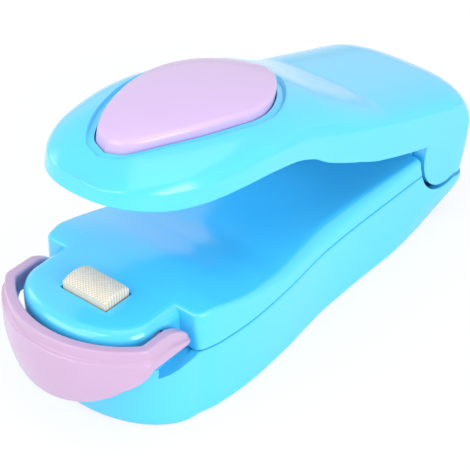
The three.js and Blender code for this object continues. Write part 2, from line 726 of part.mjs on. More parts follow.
// Fixed switch strips: the ribbon's feet come down on them when the heater is pressed
function makeStrip(side) {
  const x0 = side * stripX;
  const seatZ = stripTopZ / 2 + fitGap;
  const post = box(x0 - thinSheet / 2, x0 + thinSheet / 2, heaterY - stripHalf, heaterY + stripHalf,
    seatZ, stripTopZ);
  const head = box(x0 - stripHalf + fitGap, x0 + stripHalf - fitGap, heaterY - stripHalf, heaterY + stripHalf,
    stripTopZ - thinSheet, stripTopZ);
  const foot = box(x0 - stripHalf, x0 + stripHalf, heaterY - stripHalf, heaterY + stripHalf,
    seatZ, seatZ + thinSheet);
  return post.add(head).add(foot);
}
place('switch_strip_left', makeStrip(-1), 'brass');
place('switch_strip_right', makeStrip(1), 'brass');

// Leads from the battery contacts to the switch strips
function makeLead(side) {
  const startY = bayFrontY - bayRib - fitGap;
  const endY = heaterY + stripHalf + fitGap;
  const levelZ = stripTopZ / 2 + fitGap + leadRadius + fitGap + thinSheet;
  const route = new THREE.CatmullRomCurve3([
    new THREE.Vector3(side * cellX, startY, levelZ),
    new THREE.Vector3(side * cellX, startY - 2 * wall, levelZ),
    new THREE.Vector3(side * (cellX - wall), (startY + endY) / 2, levelZ + wall),
    new THREE.Vector3(side * stripX, endY + 2 * wall, levelZ),
    new THREE.Vector3(side * stripX, endY, levelZ),
  ]);
  const section = new THREE.Shape();
  section.absarc(0, 0, leadRadius, 0, 2 * Math.PI);
  const settings = { steps: leadSteps, curveSegments: coilSteps, extrudePath: route };
  return solidOf(new THREE.ExtrudeGeometry(section, settings));
}
place('lead_black', makeLead(-1), 'blackPvc');
place('lead_red', makeLead(1), 'redPvc');

// Lever arm in its own frame: the hinge axis is at the origin and the arm reaches towards -Y
const beforeTip = (stations) => stations.map(([before, value]) => [armLength - before, value]);
const armSpan = profile([...spanRear, ...beforeTip(spanFront)]);
const rimHeight = profile([...rimRear, ...beforeTip(rimFront)]);
const creaseHeight = profile([...creaseRear, ...beforeTip(creaseFront)]);
const crownHeight = profile([...crownRear, ...beforeTip(crownFront)]);
const paddleStart = armLength - paddleReach;

function armHalfAt(s, inset) {
  const frontShare = (s - paddleStart) / (armLength - inset - paddleStart);
  const rearStart = -armRear + armCorner;
  const rearShare = (rearStart - s) / (armCorner - inset);
  const tip = frontShare > 0 ? roundEnd(frontShare, paddlePower) : 1;
  const rear = rearShare > 0 ? roundEnd(rearShare, armCornerPower) : 1;
  return Math.max((armSpan(s) - inset) * tip * rear, thinSheet);
}

const crownRise = (share) => (1 - share ** crownPower) ** crownRoot;

// Height of the arm's outer skin at a place along it and a distance from its middle
function armTopAt(s, x) {
  const share = Math.min(Math.abs(x) / armHalfAt(s, 0), 1);
  return creaseHeight(s) + (crownHeight(s) - creaseHeight(s)) * crownRise(share);
}

// Behind the hinge the arm's wall leans back, more so the lower it is
function flared(s, height) {
  const lean = THREE.MathUtils.clamp((flareTop - height) / flareDrop, 0, 1);
  return s < 0 ? s * (1 + rearFlareShare * lean * (2 - lean)) : s;
}

function armSection(s, inset, roof, fromH) {
  const half = armHalfAt(s, inset);
  const rim = rimHeight(s);
  const crease = Math.max(creaseHeight(s) - roof / 3, rim + thinSheet);
  const rise = Math.max(crownHeight(s) - roof - crease, thinSheet);
  const heights = fromH === null ? [rim] : [fromH, (fromH + rim) / 2, rim];
  const at = (x, height) => new THREE.Vector3(x, -flared(s, height), height);
  const side = [...heights, (rim + crease) / 2, crease].map((height) => at(half, height));
  for (const share of crownShares) side.push(at(half * share, crease + rise * crownRise(share)));
  return [...side, at(0, crease + rise), ...mirrored(side)];
}

function armBody(inset, roof, fromH) {
  const places = [];
  const quarter = Math.PI / 2;
  const rearStart = -armRear + armCorner;
  for (const turn of steps(-quarter, 0, endSteps)) {
    places.push(rearStart + (armCorner - inset) * Math.sin(turn) * endShare);
  }
  places.push(...steps(rearStart, paddleStart, armSteps).slice(1));
  for (const turn of steps(0, quarter, noseSteps).slice(1)) {
    places.push(paddleStart + (armLength - inset - paddleStart) * Math.sin(turn) * tipShare);
  }
  return loft(places.map((s) => armSection(s, inset, roof, fromH)));
}

// Half width of the button at a place along the arm, with its outline let out by a margin
const buttonPlaces = beforeTip(buttonStations);
const buttonOutline = profile(buttonPlaces);
const buttonRear = buttonPlaces[0][0];
const buttonFront = buttonPlaces[buttonPlaces.length - 1][0];
const armScrewReach = buttonRear - armScrewBehind;
const buttonHalf = Math.max(...buttonStations.map((station) => station[1]));

function buttonHalfAt(s, margin) {
  const share = (s - buttonRear + margin) / (buttonFront - buttonRear + 2 * margin);
  const half = buttonOutline(buttonRear + share * (buttonFront - buttonRear));
  return Math.max((half * (buttonHalf + margin)) / buttonHalf, thinSheet);
}

// A slab inside the button's outline that follows the crown of the arm, from one height to another
function buttonSlab(margin, lowOffset, highOffset, crown, softEdge) {
  const length = buttonFront - buttonRear + 2 * margin;
  const places = steps(0, 1, slabSteps).map((share) => {
    const eased = (1 - Math.cos(Math.PI * share)) / 2;
    return buttonRear - margin + length * (endTrim + (1 - 2 * endTrim) * eased);
  });
  const rings = places.map((s) => {
    const half = buttonHalfAt(s, margin);
    const soft = Math.min(softEdge, half / 2);
    const at = (x, offset) => new THREE.Vector3(x, -s, armTopAt(s, x) + offset);
    const rise = crown * (half / buttonHalf);
    const domed = (share) => at((half - soft) * share, highOffset + rise * (1 - share * share));
    const edge = soft > 0 ? [at(half, highOffset - softEdge)] : [];
    const under = slabShares.map((share) => at(half * share, lowOffset));
    const side = [...under, ...edge, ...[...slabShares].reverse().map(domed)];
    return [at(0, lowOffset), ...side, domed(0), ...mirrored(side)];
  });
  return loft(rings);
}

const floorTop = -moatDepth;
const floorUnder = -armRoof - moatDepth / 2;

function makeArmShell() {
  let shell = armBody(0, 0, null);
  shell = shell.subtract(armBody(armWall, armRoof, hollowFrom));
  // The middle of the rear wall ends above the casing
  shell = shell.subtract(box(-earInner, earInner, 0, 2 * armRear, -armRear, rearSlotTop));
  shell = shell.add(buttonSlab(moatWidth + wall, floorUnder, -wall, 0, 0));
  // Ears round the hinge axis
  const heelY = earHeelY * Math.cos(openTilt) - earHeelZ * Math.sin(openTilt);
  const heelZ = earHeelY * Math.sin(openTilt) + earHeelZ * Math.cos(openTilt);
  const ear = bar(earRadius, earThick, 'x', earInner, 0, 0, discSides)
    .add(bar(earHeelRadius, earThick, 'x', earInner, heelY, heelZ, boreSides));
  const earOutline = armBody(0, 0, -earRadius - overrun);
  const web = box(earInner, armHalf - wall / 2, -earRadius, earRadius - armCorner, 0, webHeight);
  shell = shell.add(bothSides(ear.add(web)).intersect(earOutline));
  const bore = bar(pinRadius + fitGap, 2 * (armHalf - earSkin), 'x', -(armHalf - earSkin), 0, 0);
  shell = shell.subtract(bore);
  // Moat round the button and the hole that it passes through
  shell = shell.subtract(buttonSlab(moatWidth, floorTop, overrun + wall, 0, 0));
  shell = shell.subtract(buttonSlab(fitGap, floorUnder - overrun, floorTop + overrun, 0, 0));
  // Screw bosses under the roof behind the button
  const bossLow = plateTopAt(armScrewReach + bossWall + screwShaft) + fitGap;
  const bossTop = armTopAt(armScrewReach, armScrewX) - armRoof + thinSheet;
  const boss = bar(screwShaft + bossWall, bossTop - bossLow, 'z', armScrewX, -armScrewReach, bossLow);
  const pilot = bar(screwShaft + fitGap, armScrewDepth + fitGap, 'z', armScrewX, -armScrewReach,
    bossLow - overrun / 2);
  return shell.add(bothSides(boss)).subtract(bothSides(pilot));
}

function plateLowAt(s) {
  return rimHeight(s) + plateInset;
}
function plateTopAt(s) {
  return plateLowAt(s) + plateThick;
}

// The plate that closes the arm from below
function makeUnderplate() {
  const inset = armWall + fitGap + thinSheet;
  const plateRear = armScrewReach - plateRearMargin;
  const plateFront = armLength - plateTipGap;
  const rings = steps(0, Math.PI / 2, slabSteps).map((turn) => {
    const s = plateRear + (plateFront - plateRear) * Math.sin(turn);
    const half = Math.max(armHalfAt(s, inset) - fitGap, wall);
    const low = plateLowAt(s);
    const top = plateTopAt(s);
    return [new THREE.Vector3(half, -s, low), new THREE.Vector3(half, -s, top),
      new THREE.Vector3(-half, -s, top), new THREE.Vector3(-half, -s, low)];
  });
  let plate = loft(rings);
  const reach = presserDepth / 2 + holderMargin + runGap;
  const half = presserHalf + holderMargin + runGap;
  plate = plate.subtract(box(-half, half, -armLength, -presserReach + reach, -overrun, armLength));
  const hole = bar(screwShaft + fitGap, armLength, 'z', armScrewX, -armScrewReach, 0);
  return plate.subtract(bothSides(hole));
}

// The presser meets the top of the heater when the arm is at its closed tilt
const presserReach = (hingeY - heaterY) * Math.cos(closedTilt);
const presserZ = heaterTopZ + fitGap + presserGap;
const presserFace = (presserZ - hingeZ - presserReach * Math.sin(closedTilt)) / Math.cos(closedTilt);
const holderLow = presserFace + presserThick + fitGap / 2;
const buttonUnder = (s) => crownHeight(s) + floorUnder - runGap - buttonFlange;

place('arm_shell', makeArmShell(), 'blueAbs', arm);
place('arm_underplate', makeUnderplate(), 'blueAbs', arm);

function makeButton() {
  const flangeTop = floorUnder - runGap;
  const cap = buttonSlab(0, flangeTop - buttonFlange / 2, buttonProud, buttonCrown, thinSheet);
  const flange = buttonSlab(moatWidth, flangeTop - buttonFlange, flangeTop, 0, 0);
  const holderRear = -presserReach + presserDepth / 2 + holderMargin + fitGap;
  return cap.add(flange.subtract(box(-paddleHalf, paddleHalf, -armLength, holderRear, -armLength, armLength)));
}
place('thumb_button', makeButton(), 'lilacAbs', arm);

function makeHolder() {
  const half = presserHalf + holderMargin;
  const depth = presserDepth / 2 + holderMargin;
  let holder = box(-half, half, -presserReach - depth, -presserReach + depth,
    holderLow, holderLow + holderThick);
  const stemY = -presserReach + depth - stemRadius;
  const stemTop = buttonUnder(presserReach + stemRadius) - fitGap - thinSheet;
  for (const x of [-stemSpread, stemSpread]) {
    holder = holder.add(bar(stemRadius, stemTop - holderLow - thinSheet, 'z', x, stemY,
      holderLow + thinSheet, stemSides));
  }
  return holder;
}
place('presser_holder', makeHolder(), 'greyAbs', arm);
place('presser_strip', box(-presserHalf, presserHalf, -presserReach - presserDepth / 2,
  -presserReach + presserDepth / 2, presserFace, presserFace + presserThick), 'silicone', arm);

for (const [name, before] of buttonSprings) {
  const s = armLength - before;
  const reach = wall + springWire;
  const from = Math.max(plateTopAt(s - reach), plateTopAt(s + reach)) + fitGap;
  const to = Math.min(buttonUnder(s - reach), buttonUnder(s + reach)) - fitGap;
  const turns = Math.max(1, Math.floor((to - from) / (2 * springWire)) - 0.5);
  place(name, loft(coil(wall, wireHalf, from, to, turns, coilUpright(0, -s))), 'nickelSteel', arm);
}

// Screws: a domed head with a cross recess and a plain shank
function makeScrew(depth) {
  const outline = [
    new THREE.Vector2(0, 0), new THREE.Vector2(screwHead, 0), new THREE.Vector2(screwHead, screwHeadThick / 2),
    new THREE.Vector2(screwShaft + thinSheet, screwHeadThick), new THREE.Vector2(screwShaft, screwHeadThick),
    new THREE.Vector2(screwShaft, depth - screwShaft), new THREE.Vector2(0, depth),
  ];
  const lathe = new THREE.LatheGeometry(outline, ringSides);
  lathe.rotateX(Math.PI / 2);
  const body = solidOf(lathe);
  const arms = box(-crossLong / 2, crossLong / 2, -crossWide / 2, crossWide / 2, -overrun, crossDeep)
    .add(box(-crossWide / 2, crossWide / 2, -crossLong / 2, crossLong / 2, -overrun, crossDeep));
  return body.subtract(arms);
}

const baseScrewZ = seamZ - screwDepth - screwHeadThick - fitGap;
const screwPlaces = [
  ['base_screw_front_left', -baseScrewX, baseScrewFrontY],
  ['base_screw_front_right', baseScrewX, baseScrewFrontY],
  ['base_screw_rear_left', -baseScrewX, baseScrewRearY],
  ['base_screw_rear_right', baseScrewX, baseScrewRearY],
];
for (const [name, x, y] of screwPlaces) {
  place(name, makeScrew(screwDepth + 2 * wall).translate([x, y, baseScrewZ]), 'nickelSteel');
}
const armScrewLow = plateLowAt(armScrewReach - screwHead) - screwHeadThick - fitGap;
for (const [name, x] of [['arm_screw_left', -armScrewX], ['arm_screw_right', armScrewX]]) {
  place(name, makeScrew(armScrewDepth + wall).translate([x, -armScrewReach, armScrewLow]), 'nickelSteel', arm);
}

// Hinge pin, and the torsion spring on it that holds the arm open
const pinHalf = armHalf - earSkin - fitGap;
place('hinge_pin', bar(pinRadius, 2 * pinHalf, 'x', -pinHalf, hingeY, hingeZ), 'nickelSteel');

function makeTorsionSpring() {
  const radius = pinRadius + springWire + fitGap + springWire / 2;
  const toPoint = (a, b, along) => new THREE.Vector3(along, hingeY + a, hingeZ + b);
  return loft(coil(radius, wireHalf, -torsionHalf, torsionHalf, torsionTurns, toPoint));
}
place('torsion_spring', makeTorsionSpring(), 'nickelSteel');

// Safety guard: two arms and an arc round the nose, and a heel behind each pivot
function guardArc(share, half, radius, centreY) {
  const turn = Math.asin(half / radius) * share;
  return new THREE.Vector3(radius * Math.sin(turn), centreY - radius * Math.cos(turn), 0);
}

// The guard's section: a plate that stands proud of the rim band above it and tucks in at the foot
function guardSection(outer, inner, bottomZ, topZ, share) {
  const at = (inward, z) => new THREE.Vector3().lerpVectors(outer, inner, inward).setZ(z);
  const stepZ = topZ - Math.min(guardStep, guardStepShare * (topZ - bottomZ));
  const wantedZ = guardCreaseZ + guardCreaseRise * Math.abs(share);
  const creaseZ = Math.min(Math.max(wantedZ, bottomZ + guardStepRise), stepZ - guardStepRise - endTrim);
  const tuckShare = guardTuckShare * Math.min((creaseZ - bottomZ) / guardTuckHeight, 1);
  return [at(1, bottomZ), at(tuckShare, bottomZ), at(0, creaseZ), at(0, stepZ - guardStepRise),
    at(guardRimShare, stepZ + guardStepRise), at(guardRimShare, topZ - guardSoft), at(guardRimTopShare, topZ),
    at(guardRimInnerShare, topZ), at(1, topZ - guardSoft)];
}

// Height of the guard's lower edge at a share of the arc, from its middle to its corner
const guardBottom = profile(guardEdgeStations);

function makeGuard() {
  const heelEndY = pivotY + heelReach;
  const heel = (side) => heelStations.map(([back, top, low, draw]) => guardSection(
    new THREE.Vector3(side * (guardHalf - draw), heelEndY - back, 0),
    new THREE.Vector3(side * (guardInnerHalf + draw), heelEndY - back, 0), low, top, 1));
  const band = steps(1, -1, guardSteps).map((share) => guardSection(
    guardArc(share, guardHalf, guardRadius, guardCentreY),
    guardArc(share, guardInnerHalf, guardInnerRadius, guardInnerCentreY),
    guardBottom(Math.abs(share)), guardRimZ + (guardSideZ - guardRimZ) * share * share, share));
  const stubEnd = noseHalf - stubLength;
  const stub = bar(stubRadius, guardInnerHalf + overrun - stubEnd, 'x', stubEnd, pivotY, pivotZ, stemSides);
  return loft([...heel(1), ...band, ...heel(-1).reverse()]).add(bothSides(stub));
}
place('guard', makeGuard(), 'lilacAbs');

// The arm at rest, held open by its spring
arm.position.set(0, hingeY, hingeZ);
arm.rotation.x = -openTilt;
group.add(arm);

// The part's origin is under the middle of its box
const middle = new THREE.Box3().setFromObject(group, true).getCenter(new THREE.Vector3());
group.position.y = -middle.y;

export default group;
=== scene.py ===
# %% [markdown]
# # A hand-held bag sealer, dressed for its portrait
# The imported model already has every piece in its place: casing, sprung lever, thumb button, guard,
# heater and batteries. Its shells are coarse, because they were made for motion and for a small file.
# This lesson skins the shells that the eye sees again, from the same measurements and with many more
# points, and gives every piece the finish of its real material.

# %% Load the frame
import json
import math

import bpy
import numpy as np
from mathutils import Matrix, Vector


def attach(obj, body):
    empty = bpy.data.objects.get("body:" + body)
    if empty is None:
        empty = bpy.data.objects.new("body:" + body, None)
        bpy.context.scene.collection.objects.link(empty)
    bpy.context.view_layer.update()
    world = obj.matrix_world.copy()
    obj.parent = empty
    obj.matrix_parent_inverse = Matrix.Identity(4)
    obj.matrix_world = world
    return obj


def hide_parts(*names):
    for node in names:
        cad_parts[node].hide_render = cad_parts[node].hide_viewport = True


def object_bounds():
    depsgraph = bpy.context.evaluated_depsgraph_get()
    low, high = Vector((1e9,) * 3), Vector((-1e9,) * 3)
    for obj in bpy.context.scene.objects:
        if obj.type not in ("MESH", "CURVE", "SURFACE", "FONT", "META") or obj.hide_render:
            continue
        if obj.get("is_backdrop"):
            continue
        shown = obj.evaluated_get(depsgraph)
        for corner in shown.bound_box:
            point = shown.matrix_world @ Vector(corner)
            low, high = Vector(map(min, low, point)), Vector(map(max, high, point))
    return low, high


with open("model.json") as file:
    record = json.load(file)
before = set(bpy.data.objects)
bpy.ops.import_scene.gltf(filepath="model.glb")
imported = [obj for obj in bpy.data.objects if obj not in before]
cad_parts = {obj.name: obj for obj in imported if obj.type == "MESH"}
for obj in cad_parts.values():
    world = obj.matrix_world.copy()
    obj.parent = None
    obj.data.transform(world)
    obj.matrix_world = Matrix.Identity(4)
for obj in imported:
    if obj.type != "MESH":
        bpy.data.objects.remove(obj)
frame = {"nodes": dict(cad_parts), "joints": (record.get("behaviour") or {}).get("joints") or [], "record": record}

cad_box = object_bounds()

# %% [markdown]
# ## Measures
# A moulded shell is described by stations: how wide or how high it is at places along it. The real
# tool was drawn the same way, so the curves flow from nose to tail. All lengths are millimetres, with
# y = 0 at the front face of the casing's shoulders. The frame has its origin elsewhere, so the hinge
# of the lever, which both know, gives the shift between them.

# %% Shift between the drawing and the frame
joints = {joint["name"]: joint for joint in frame["joints"]}
hinge_y, hinge_z = 89.0, 20.0
shift_y = joints["lever_hinge"]["pos_m"][1] * 1000 - hinge_y
open_tilt = math.radians(16)
print("shift along Y: %.3f mm" % shift_y)

# %% [markdown]
# ## Curves through stations
# A plain spline through stations swings past them and leaves dents in a glossy shell. A monotone
# cubic never does: its slope at each station is the harmonic mean of its neighbours' slopes.

# %% Curves, rounded ends and quarter turns
def profile(stations):
    table = np.array(stations, float)
    place, value = table[:, 0], table[:, 1]
    secant = np.diff(value) / np.diff(place)
    before, after = secant[:-1], secant[1:]
    same = before * after > 0
    inner = np.where(same, 2 * before * after / np.where(same, before + after, 1), 0)
    slope = np.concatenate([secant[:1], inner, secant[-1:]])

    def curve(at):
        at = np.clip(np.asarray(at, float), place[0], place[-1])
        i = np.clip(np.searchsorted(place, at) - 1, 0, len(place) - 2)
        span = place[i + 1] - place[i]
        u = (at - place[i]) / span
        rise = value[i + 1] - value[i]
        bend = u * (1 - u) * (slope[i] * span * (1 - u) - slope[i + 1] * span * u)
        return value[i] + rise * u * u * (3 - 2 * u) + bend
    return curve


def round_end(share, power):
    return (1 - np.minimum(np.abs(share), 1) ** power) ** (1 / power)


def turns(count, start=0.0, end=90.0):
    return np.radians(np.linspace(start, end, count + 1))


# %% [markdown]
# ## From rings to a closed skin
# Lofting joins rings of points into a tube and closes its ends with a fan. Modelling by hand with
# subdivision would be quicker for one shell, but a loft follows the measured stations exactly, and
# the rings can be as dense as a highlight needs.

# %% Loft, cut and smooth
def mesh_piece(name, points, faces):
    points = np.asarray(points, float)
    moved = (points + [0, shift_y, 0]) / 1000
    mesh = bpy.data.meshes.new(name)
    mesh.from_pydata(moved.tolist(), [], faces)
    mesh.update()
    piece = bpy.data.objects.new(name, mesh)
    bpy.context.scene.collection.objects.link(piece)
    return piece


def loft(name, rings):
    rings = np.asarray(rings, float)
    ring_count, count = rings.shape[:2]
    middles = rings[[0, -1]].mean(axis=1)
    points = np.vstack([rings.reshape(-1, 3), middles])
    a = np.arange(count)
    b = (a + 1) % count
    base = np.arange(ring_count - 1)[:, None] * count
    quads = np.stack([base + a, base + b, base + count + b, base + count + a], -1).reshape(-1, 4)
    last = (ring_count - 1) * count
    hub = ring_count * count
    start_fan = np.stack([b, a, np.full(count, hub)], -1)
    end_fan = np.stack([last + a, last + b, np.full(count, hub + 1)], -1)
    p = points[quads]
    volume = (p[:, 0] * np.cross(p[:, 1], p[:, 2])).sum()
    volume += (p[:, 0] * np.cross(p[:, 2], p[:, 3])).sum()
    for fan in (start_fan, end_fan):
        q = points[fan]
        volume += (q[:, 0] * np.cross(q[:, 1], q[:, 2])).sum()
    faces = quads.tolist() + start_fan.tolist() + end_fan.tolist()
    if volume < 0:
        faces = [face[::-1] for face in faces]
    return mesh_piece(name, points, faces)


def block(x0, x1, y0, y1, z0, z1):
    ring = [(x0, y0), (x1, y0), (x1, y1), (x0, y1)]
    return loft("cutter", [[(x, y, z) for x, y in ring] for z in (z0, z1)])


def rod(radius, x0, x1, y, z, sides=96):
    around = np.radians(np.arange(sides) * 360 / sides)
    return loft("cutter", [[(x, y + radius * math.cos(t), z + radius * math.sin(t)) for t in around]
                           for x in (x0, x1)])


def post(radius, x, y, z0, z1, sides=48):
    around = np.radians(np.arange(sides) * 360 / sides)
    return loft("cutter", [[(x + radius * math.cos(t), y + radius * math.sin(t), z) for t in around]
                           for z in (z0, z1)])


def joined(piece, operation, *tools):
    for tool in tools:
        step = piece.modifiers.new("step", "BOOLEAN")
        step.operation = operation
        step.solver = "MANIFOLD"
        step.object = tool
        graph = bpy.context.evaluated_depsgraph_get()
        made = bpy.data.meshes.new_from_object(piece.evaluated_get(graph))
        old = piece.data
        piece.modifiers.remove(step)
        made.name = old.name
        piece.data = made
        bpy.data.meshes.remove(old)
        bpy.data.objects.remove(tool)
    return piece


def cut(piece, *tools):
    return joined(piece, "DIFFERENCE", *tools)


def add(piece, *tools):
    return joined(piece, "UNION", *tools)


def keep(piece, *tools):
    return joined(piece, "INTERSECT", *tools)


def smoothed(piece, degrees=32):
    piece.data.shade_smooth()
    piece.data.set_sharp_from_angle(angle=math.radians(degrees))
    print("%s: %d faces" % (piece.name, len(piece.data.polygons)))
    return piece


def dressed(piece, body, *nodes):
    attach(piece, body)
    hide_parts(*nodes)
    return piece


# %% [markdown]
# ## Casing
# The casing is two glossy ABS mouldings that meet at a seam round the middle of the side. Seen from
# above it is waisted like a peanut, so that a hand can hold it. Its deck dips in the middle, where the
# fingers of the other hand reach under the lever.

# %% Plan of the casing and its deck
rear_y, rear_corner, rear_power = 99.0, 4.5, 2.2
shoulder_half, tail_half = 21, 19.8
side_half = profile([(0, shoulder_half), (5, 22.3), (14, 22.9), (27, 22.1), (38, 20.7), (43, 20.2),
                     (58, tail_half), (rear_y, tail_half)])
deck_middle = profile([(0, 26.02), (5, 26.02), (10, 25.65), (20, 23.2), (30, 20.9), (45, 20.2),
                       (60, 20.8), (70, 21.8), (78, 22.4), (rear_y, 22.4)])
deck_side = profile([(0, 25.85), (5, 25.7), (8, 25), (14, 23.5), (21, 22.2), (29, 21.3), (77, 21.4),
                     (rear_y, 21.4)])
edge_round = profile([(0, 0.8), (10, 1.0), (25, 2.2), (45, 3.0), (60, 2.6), (78, 1.5), (rear_y, 1.2)])
edge_draft = profile([(0, 0.2), (20, 0.3), (rear_y, 0.3)])
seam_z, seam_gap, seam_soft = 16.6, 0.3, 0.25
wall, fit_gap, foot_round, keel_draft = 2.0, 0.3, 1.2, 0.15
taper_y, taper_length, taper_depth, taper_power, taper_height = 66, 27, 4.3, 1.7, 9
keel_front, bow_front, stern_rake, stern_rise = 13.6, 17.5, 10, 8
deck_power, shoulder_soft, shoulder_drop = 2.6, 1.2, 0.7
near_end, near_tip, deck_slope_y = 0.9985, 0.99985, 21


def tail_taper(y, z):
    """The foot of the tail narrows like the stern of a boat."""
    along = max(y - taper_y, 0) / taper_length
    return taper_depth * along ** taper_power * max(1 - z / taper_height, 0) ** 2


def plan_ring(z, inset, front, rear):
    front_reach, rear_reach = front - inset, rear_corner - inset
    rear_start = rear - rear_corner
    side = [(0, -front_reach, z)]
    for t in turns(32)[1:-1]:
        side.append(((shoulder_half - inset) * math.sin(t), -front_reach * math.cos(t), z))
    for y in np.linspace(0, rear_start, 90):
        side.append((float(side_half(y)) - inset - tail_taper(y, z), y, z))
    for t in turns(20)[1:-1]:
        reach = math.sin(t)
        y = rear_start + rear_reach * reach
        half = tail_half - inset - tail_taper(y, z)
        side.append((half * float(round_end(reach, rear_power)), y, z))
    side.append((0, rear_start + rear_reach, z))
    side = np.array(side)
    return np.vstack([side, side[1:-1][::-1] * [-1, 1, 1]])


def bow_at(z):
    return keel_front + (bow_front - keel_front) * min(z / seam_z, 1)


def stern_at(z):
    return rear_y - stern_rake * max(1 - z / stern_rise, 0) ** 2


def lower_body(name, inset, low, high, soft):
    rings = []
    foot = max(foot_round - inset, 0.5)
    for t in turns(6):
        z = low + foot * (1 - math.cos(t))
        drawn = foot * (1 - math.sin(t)) + keel_draft
        rings.append(plan_ring(z, inset + drawn, bow_at(z), stern_at(z)))
    for z in np.linspace(low + foot, high - soft, 14)[1:]:
        drawn = keel_draft * (high - z) / (high - low - foot)
        rings.append(plan_ring(z, inset + drawn, bow_at(z), stern_at(z)))
    if soft:
        rings.append(plan_ring(high, inset + soft, bow_at(high), stern_at(high)))
    return loft(name, rings)


def upper_section(y, inset, low, soft, ease=0.0, drop=0.0):
    rear_share = (y - (rear_y - rear_corner)) / (rear_corner - inset)
    ended = float(round_end(rear_share, rear_power)) if rear_share > 0 else 1.0
    half = (float(side_half(y)) - inset) * ended - ease
    edge = min(max(float(edge_round(y)) - inset, 0.5), half / 2)
    draft = float(edge_draft(y))
    side_top = float(deck_side(y)) - inset - drop
    middle_top = float(deck_middle(y)) - inset - drop
    side = [(max(half - soft, half / 2), y, low)] if soft else []
    side.append((half, y, low + soft))
    for t in turns(8):
        x = half - draft - edge * (1 - math.cos(t))
        side.append((x, y, side_top - edge * (1 - math.sin(t))))
    flat_half = half - draft - edge
    for share in np.linspace(1, 0, 17)[1:-1]:
        z = middle_top + (side_top - middle_top) * share ** deck_power
        side.append((flat_half * share, y, z))
    side = np.array(side)
    return np.vstack([side, [(0, y, middle_top)], side[::-1] * [-1, 1, 1]])


def upper_body(name, inset, low, soft=0.0):
    sections = []
    if soft:
        for t in turns(6)[:-1]:
            y, ease = shoulder_soft * (1 - math.cos(t)), 1 - math.sin(t)
            sections.append(upper_section(y, inset, low, soft, shoulder_soft * ease,
                                          shoulder_drop * ease))
    start = shoulder_soft if soft else inset
    for y in np.linspace(start, rear_y - rear_corner, 110):
        sections.append(upper_section(y, inset, low, soft))
    for t in turns(18)[1:]:
        y = rear_y - rear_corner + (rear_corner - inset) * math.sin(t) * near_end
        sections.append(upper_section(y, inset, low, soft))
    return loft(name, sections)


print("casing: %.1f mm wide at its bulge, seam at %.1f mm" % (2 * float(side_half(14)), seam_z))

# %% [markdown]
# ## Nose
# In front of the shoulders stands the nose, a drum with a round front and a wide soft edge. The
# heater looks out of a window in its top. It is one moulding with the deck, so the two are joined
# with a boolean rather than left as two overlapping pieces.

# %% Nose and the hinge pockets
nose_top, nose_half, nose_side, nose_round, nose_edge, nose_overlap = 26.0, 16.1, 8, 10.7, 2.8, 4
heater_y, heater_half_x, heater_half_y, heater_top, window_gap = -6.8, 5.9, 3.4, 28.4, 0.4
pivot_y, pivot_z, heel_reach, stub_radius = -6.4, 21.8, 5.5, 1.5
pin_radius, barrel_radius, coil_bay, coil_gap = 1.5, 4.2, 4.6, 0.6
ear_inner, ear_outer, ear_radius, pocket_gap = 16.5, 19.7, 9.8, 1.1
ear_heel, ear_heel_radius = (4.9, -5.6), 4.2
closed_tilt = math.radians(3.3)
pocket_inner = ear_inner - fit_gap
far_out = 40


def nose_ring(z, inset):
    side = []
    for t in turns(48)[1:]:
        y = -nose_side - (nose_round - inset) * math.cos(t)
        side.append(((nose_half - inset) * math.sin(t), y, z))
    side.append((nose_half - inset, nose_overlap, z))
    side = np.array(side)
    tip = [(0, -(nose_side + nose_round) + inset, z)]
    return np.vstack([tip, side, side[::-1] * [-1, 1, 1]])


def nose_body(name, inset, low, soft=0.0):
    edge = nose_edge - inset / 2
    rings = [nose_ring(low, inset + soft)]
    if soft:
        rings.append(nose_ring(low + soft, inset))
    for t in turns(14):
        z = nose_top - inset - edge * (1 - math.sin(t))
        rings.append(nose_ring(z, inset + edge * (1 - math.cos(t))))
    return loft(name, rings)


def turned(point, angle):
    y, z = point
    return (y * math.cos(angle) - z * math.sin(angle), y * math.sin(angle) + z * math.cos(angle))


def ear_pockets():
    tools = []
    pocket = ear_radius + pocket_gap
    for side in (-1, 1):
        x0, x1 = sorted((side * pocket_inner, side * far_out))
        tools.append(rod(pocket, x0, x1, hinge_y, hinge_z))
        for lean in (0, open_tilt - closed_tilt):
            y, z = turned(ear_heel, lean)
            tools.append(rod(ear_heel_radius + pocket_gap, x0, x1, hinge_y + y, hinge_z + z))
        tools.append(block(x0, x1, hinge_y - pocket, rear_y + 1, hinge_z, nose_top + wall))
    return tools


print("nose: %.1f mm wide, top at %.1f mm" % (2 * nose_half, nose_top))

# %% [markdown]
# The upper moulding: deck and nose joined, hollowed to a 2 mm wall, then cut for the hinge of the
# lever, its pin, the guard's pivots and the heater's window. Inside the rear stands the barrel that
# carries the pin, with a bay for the spring in its middle.

# %% Upper casing
screw_x, screw_rows = 12.2, (8.5, 78.9)
screw_shaft, screw_head, boss_wall, screw_depth = 1.2, 2.6, 1.5, 9


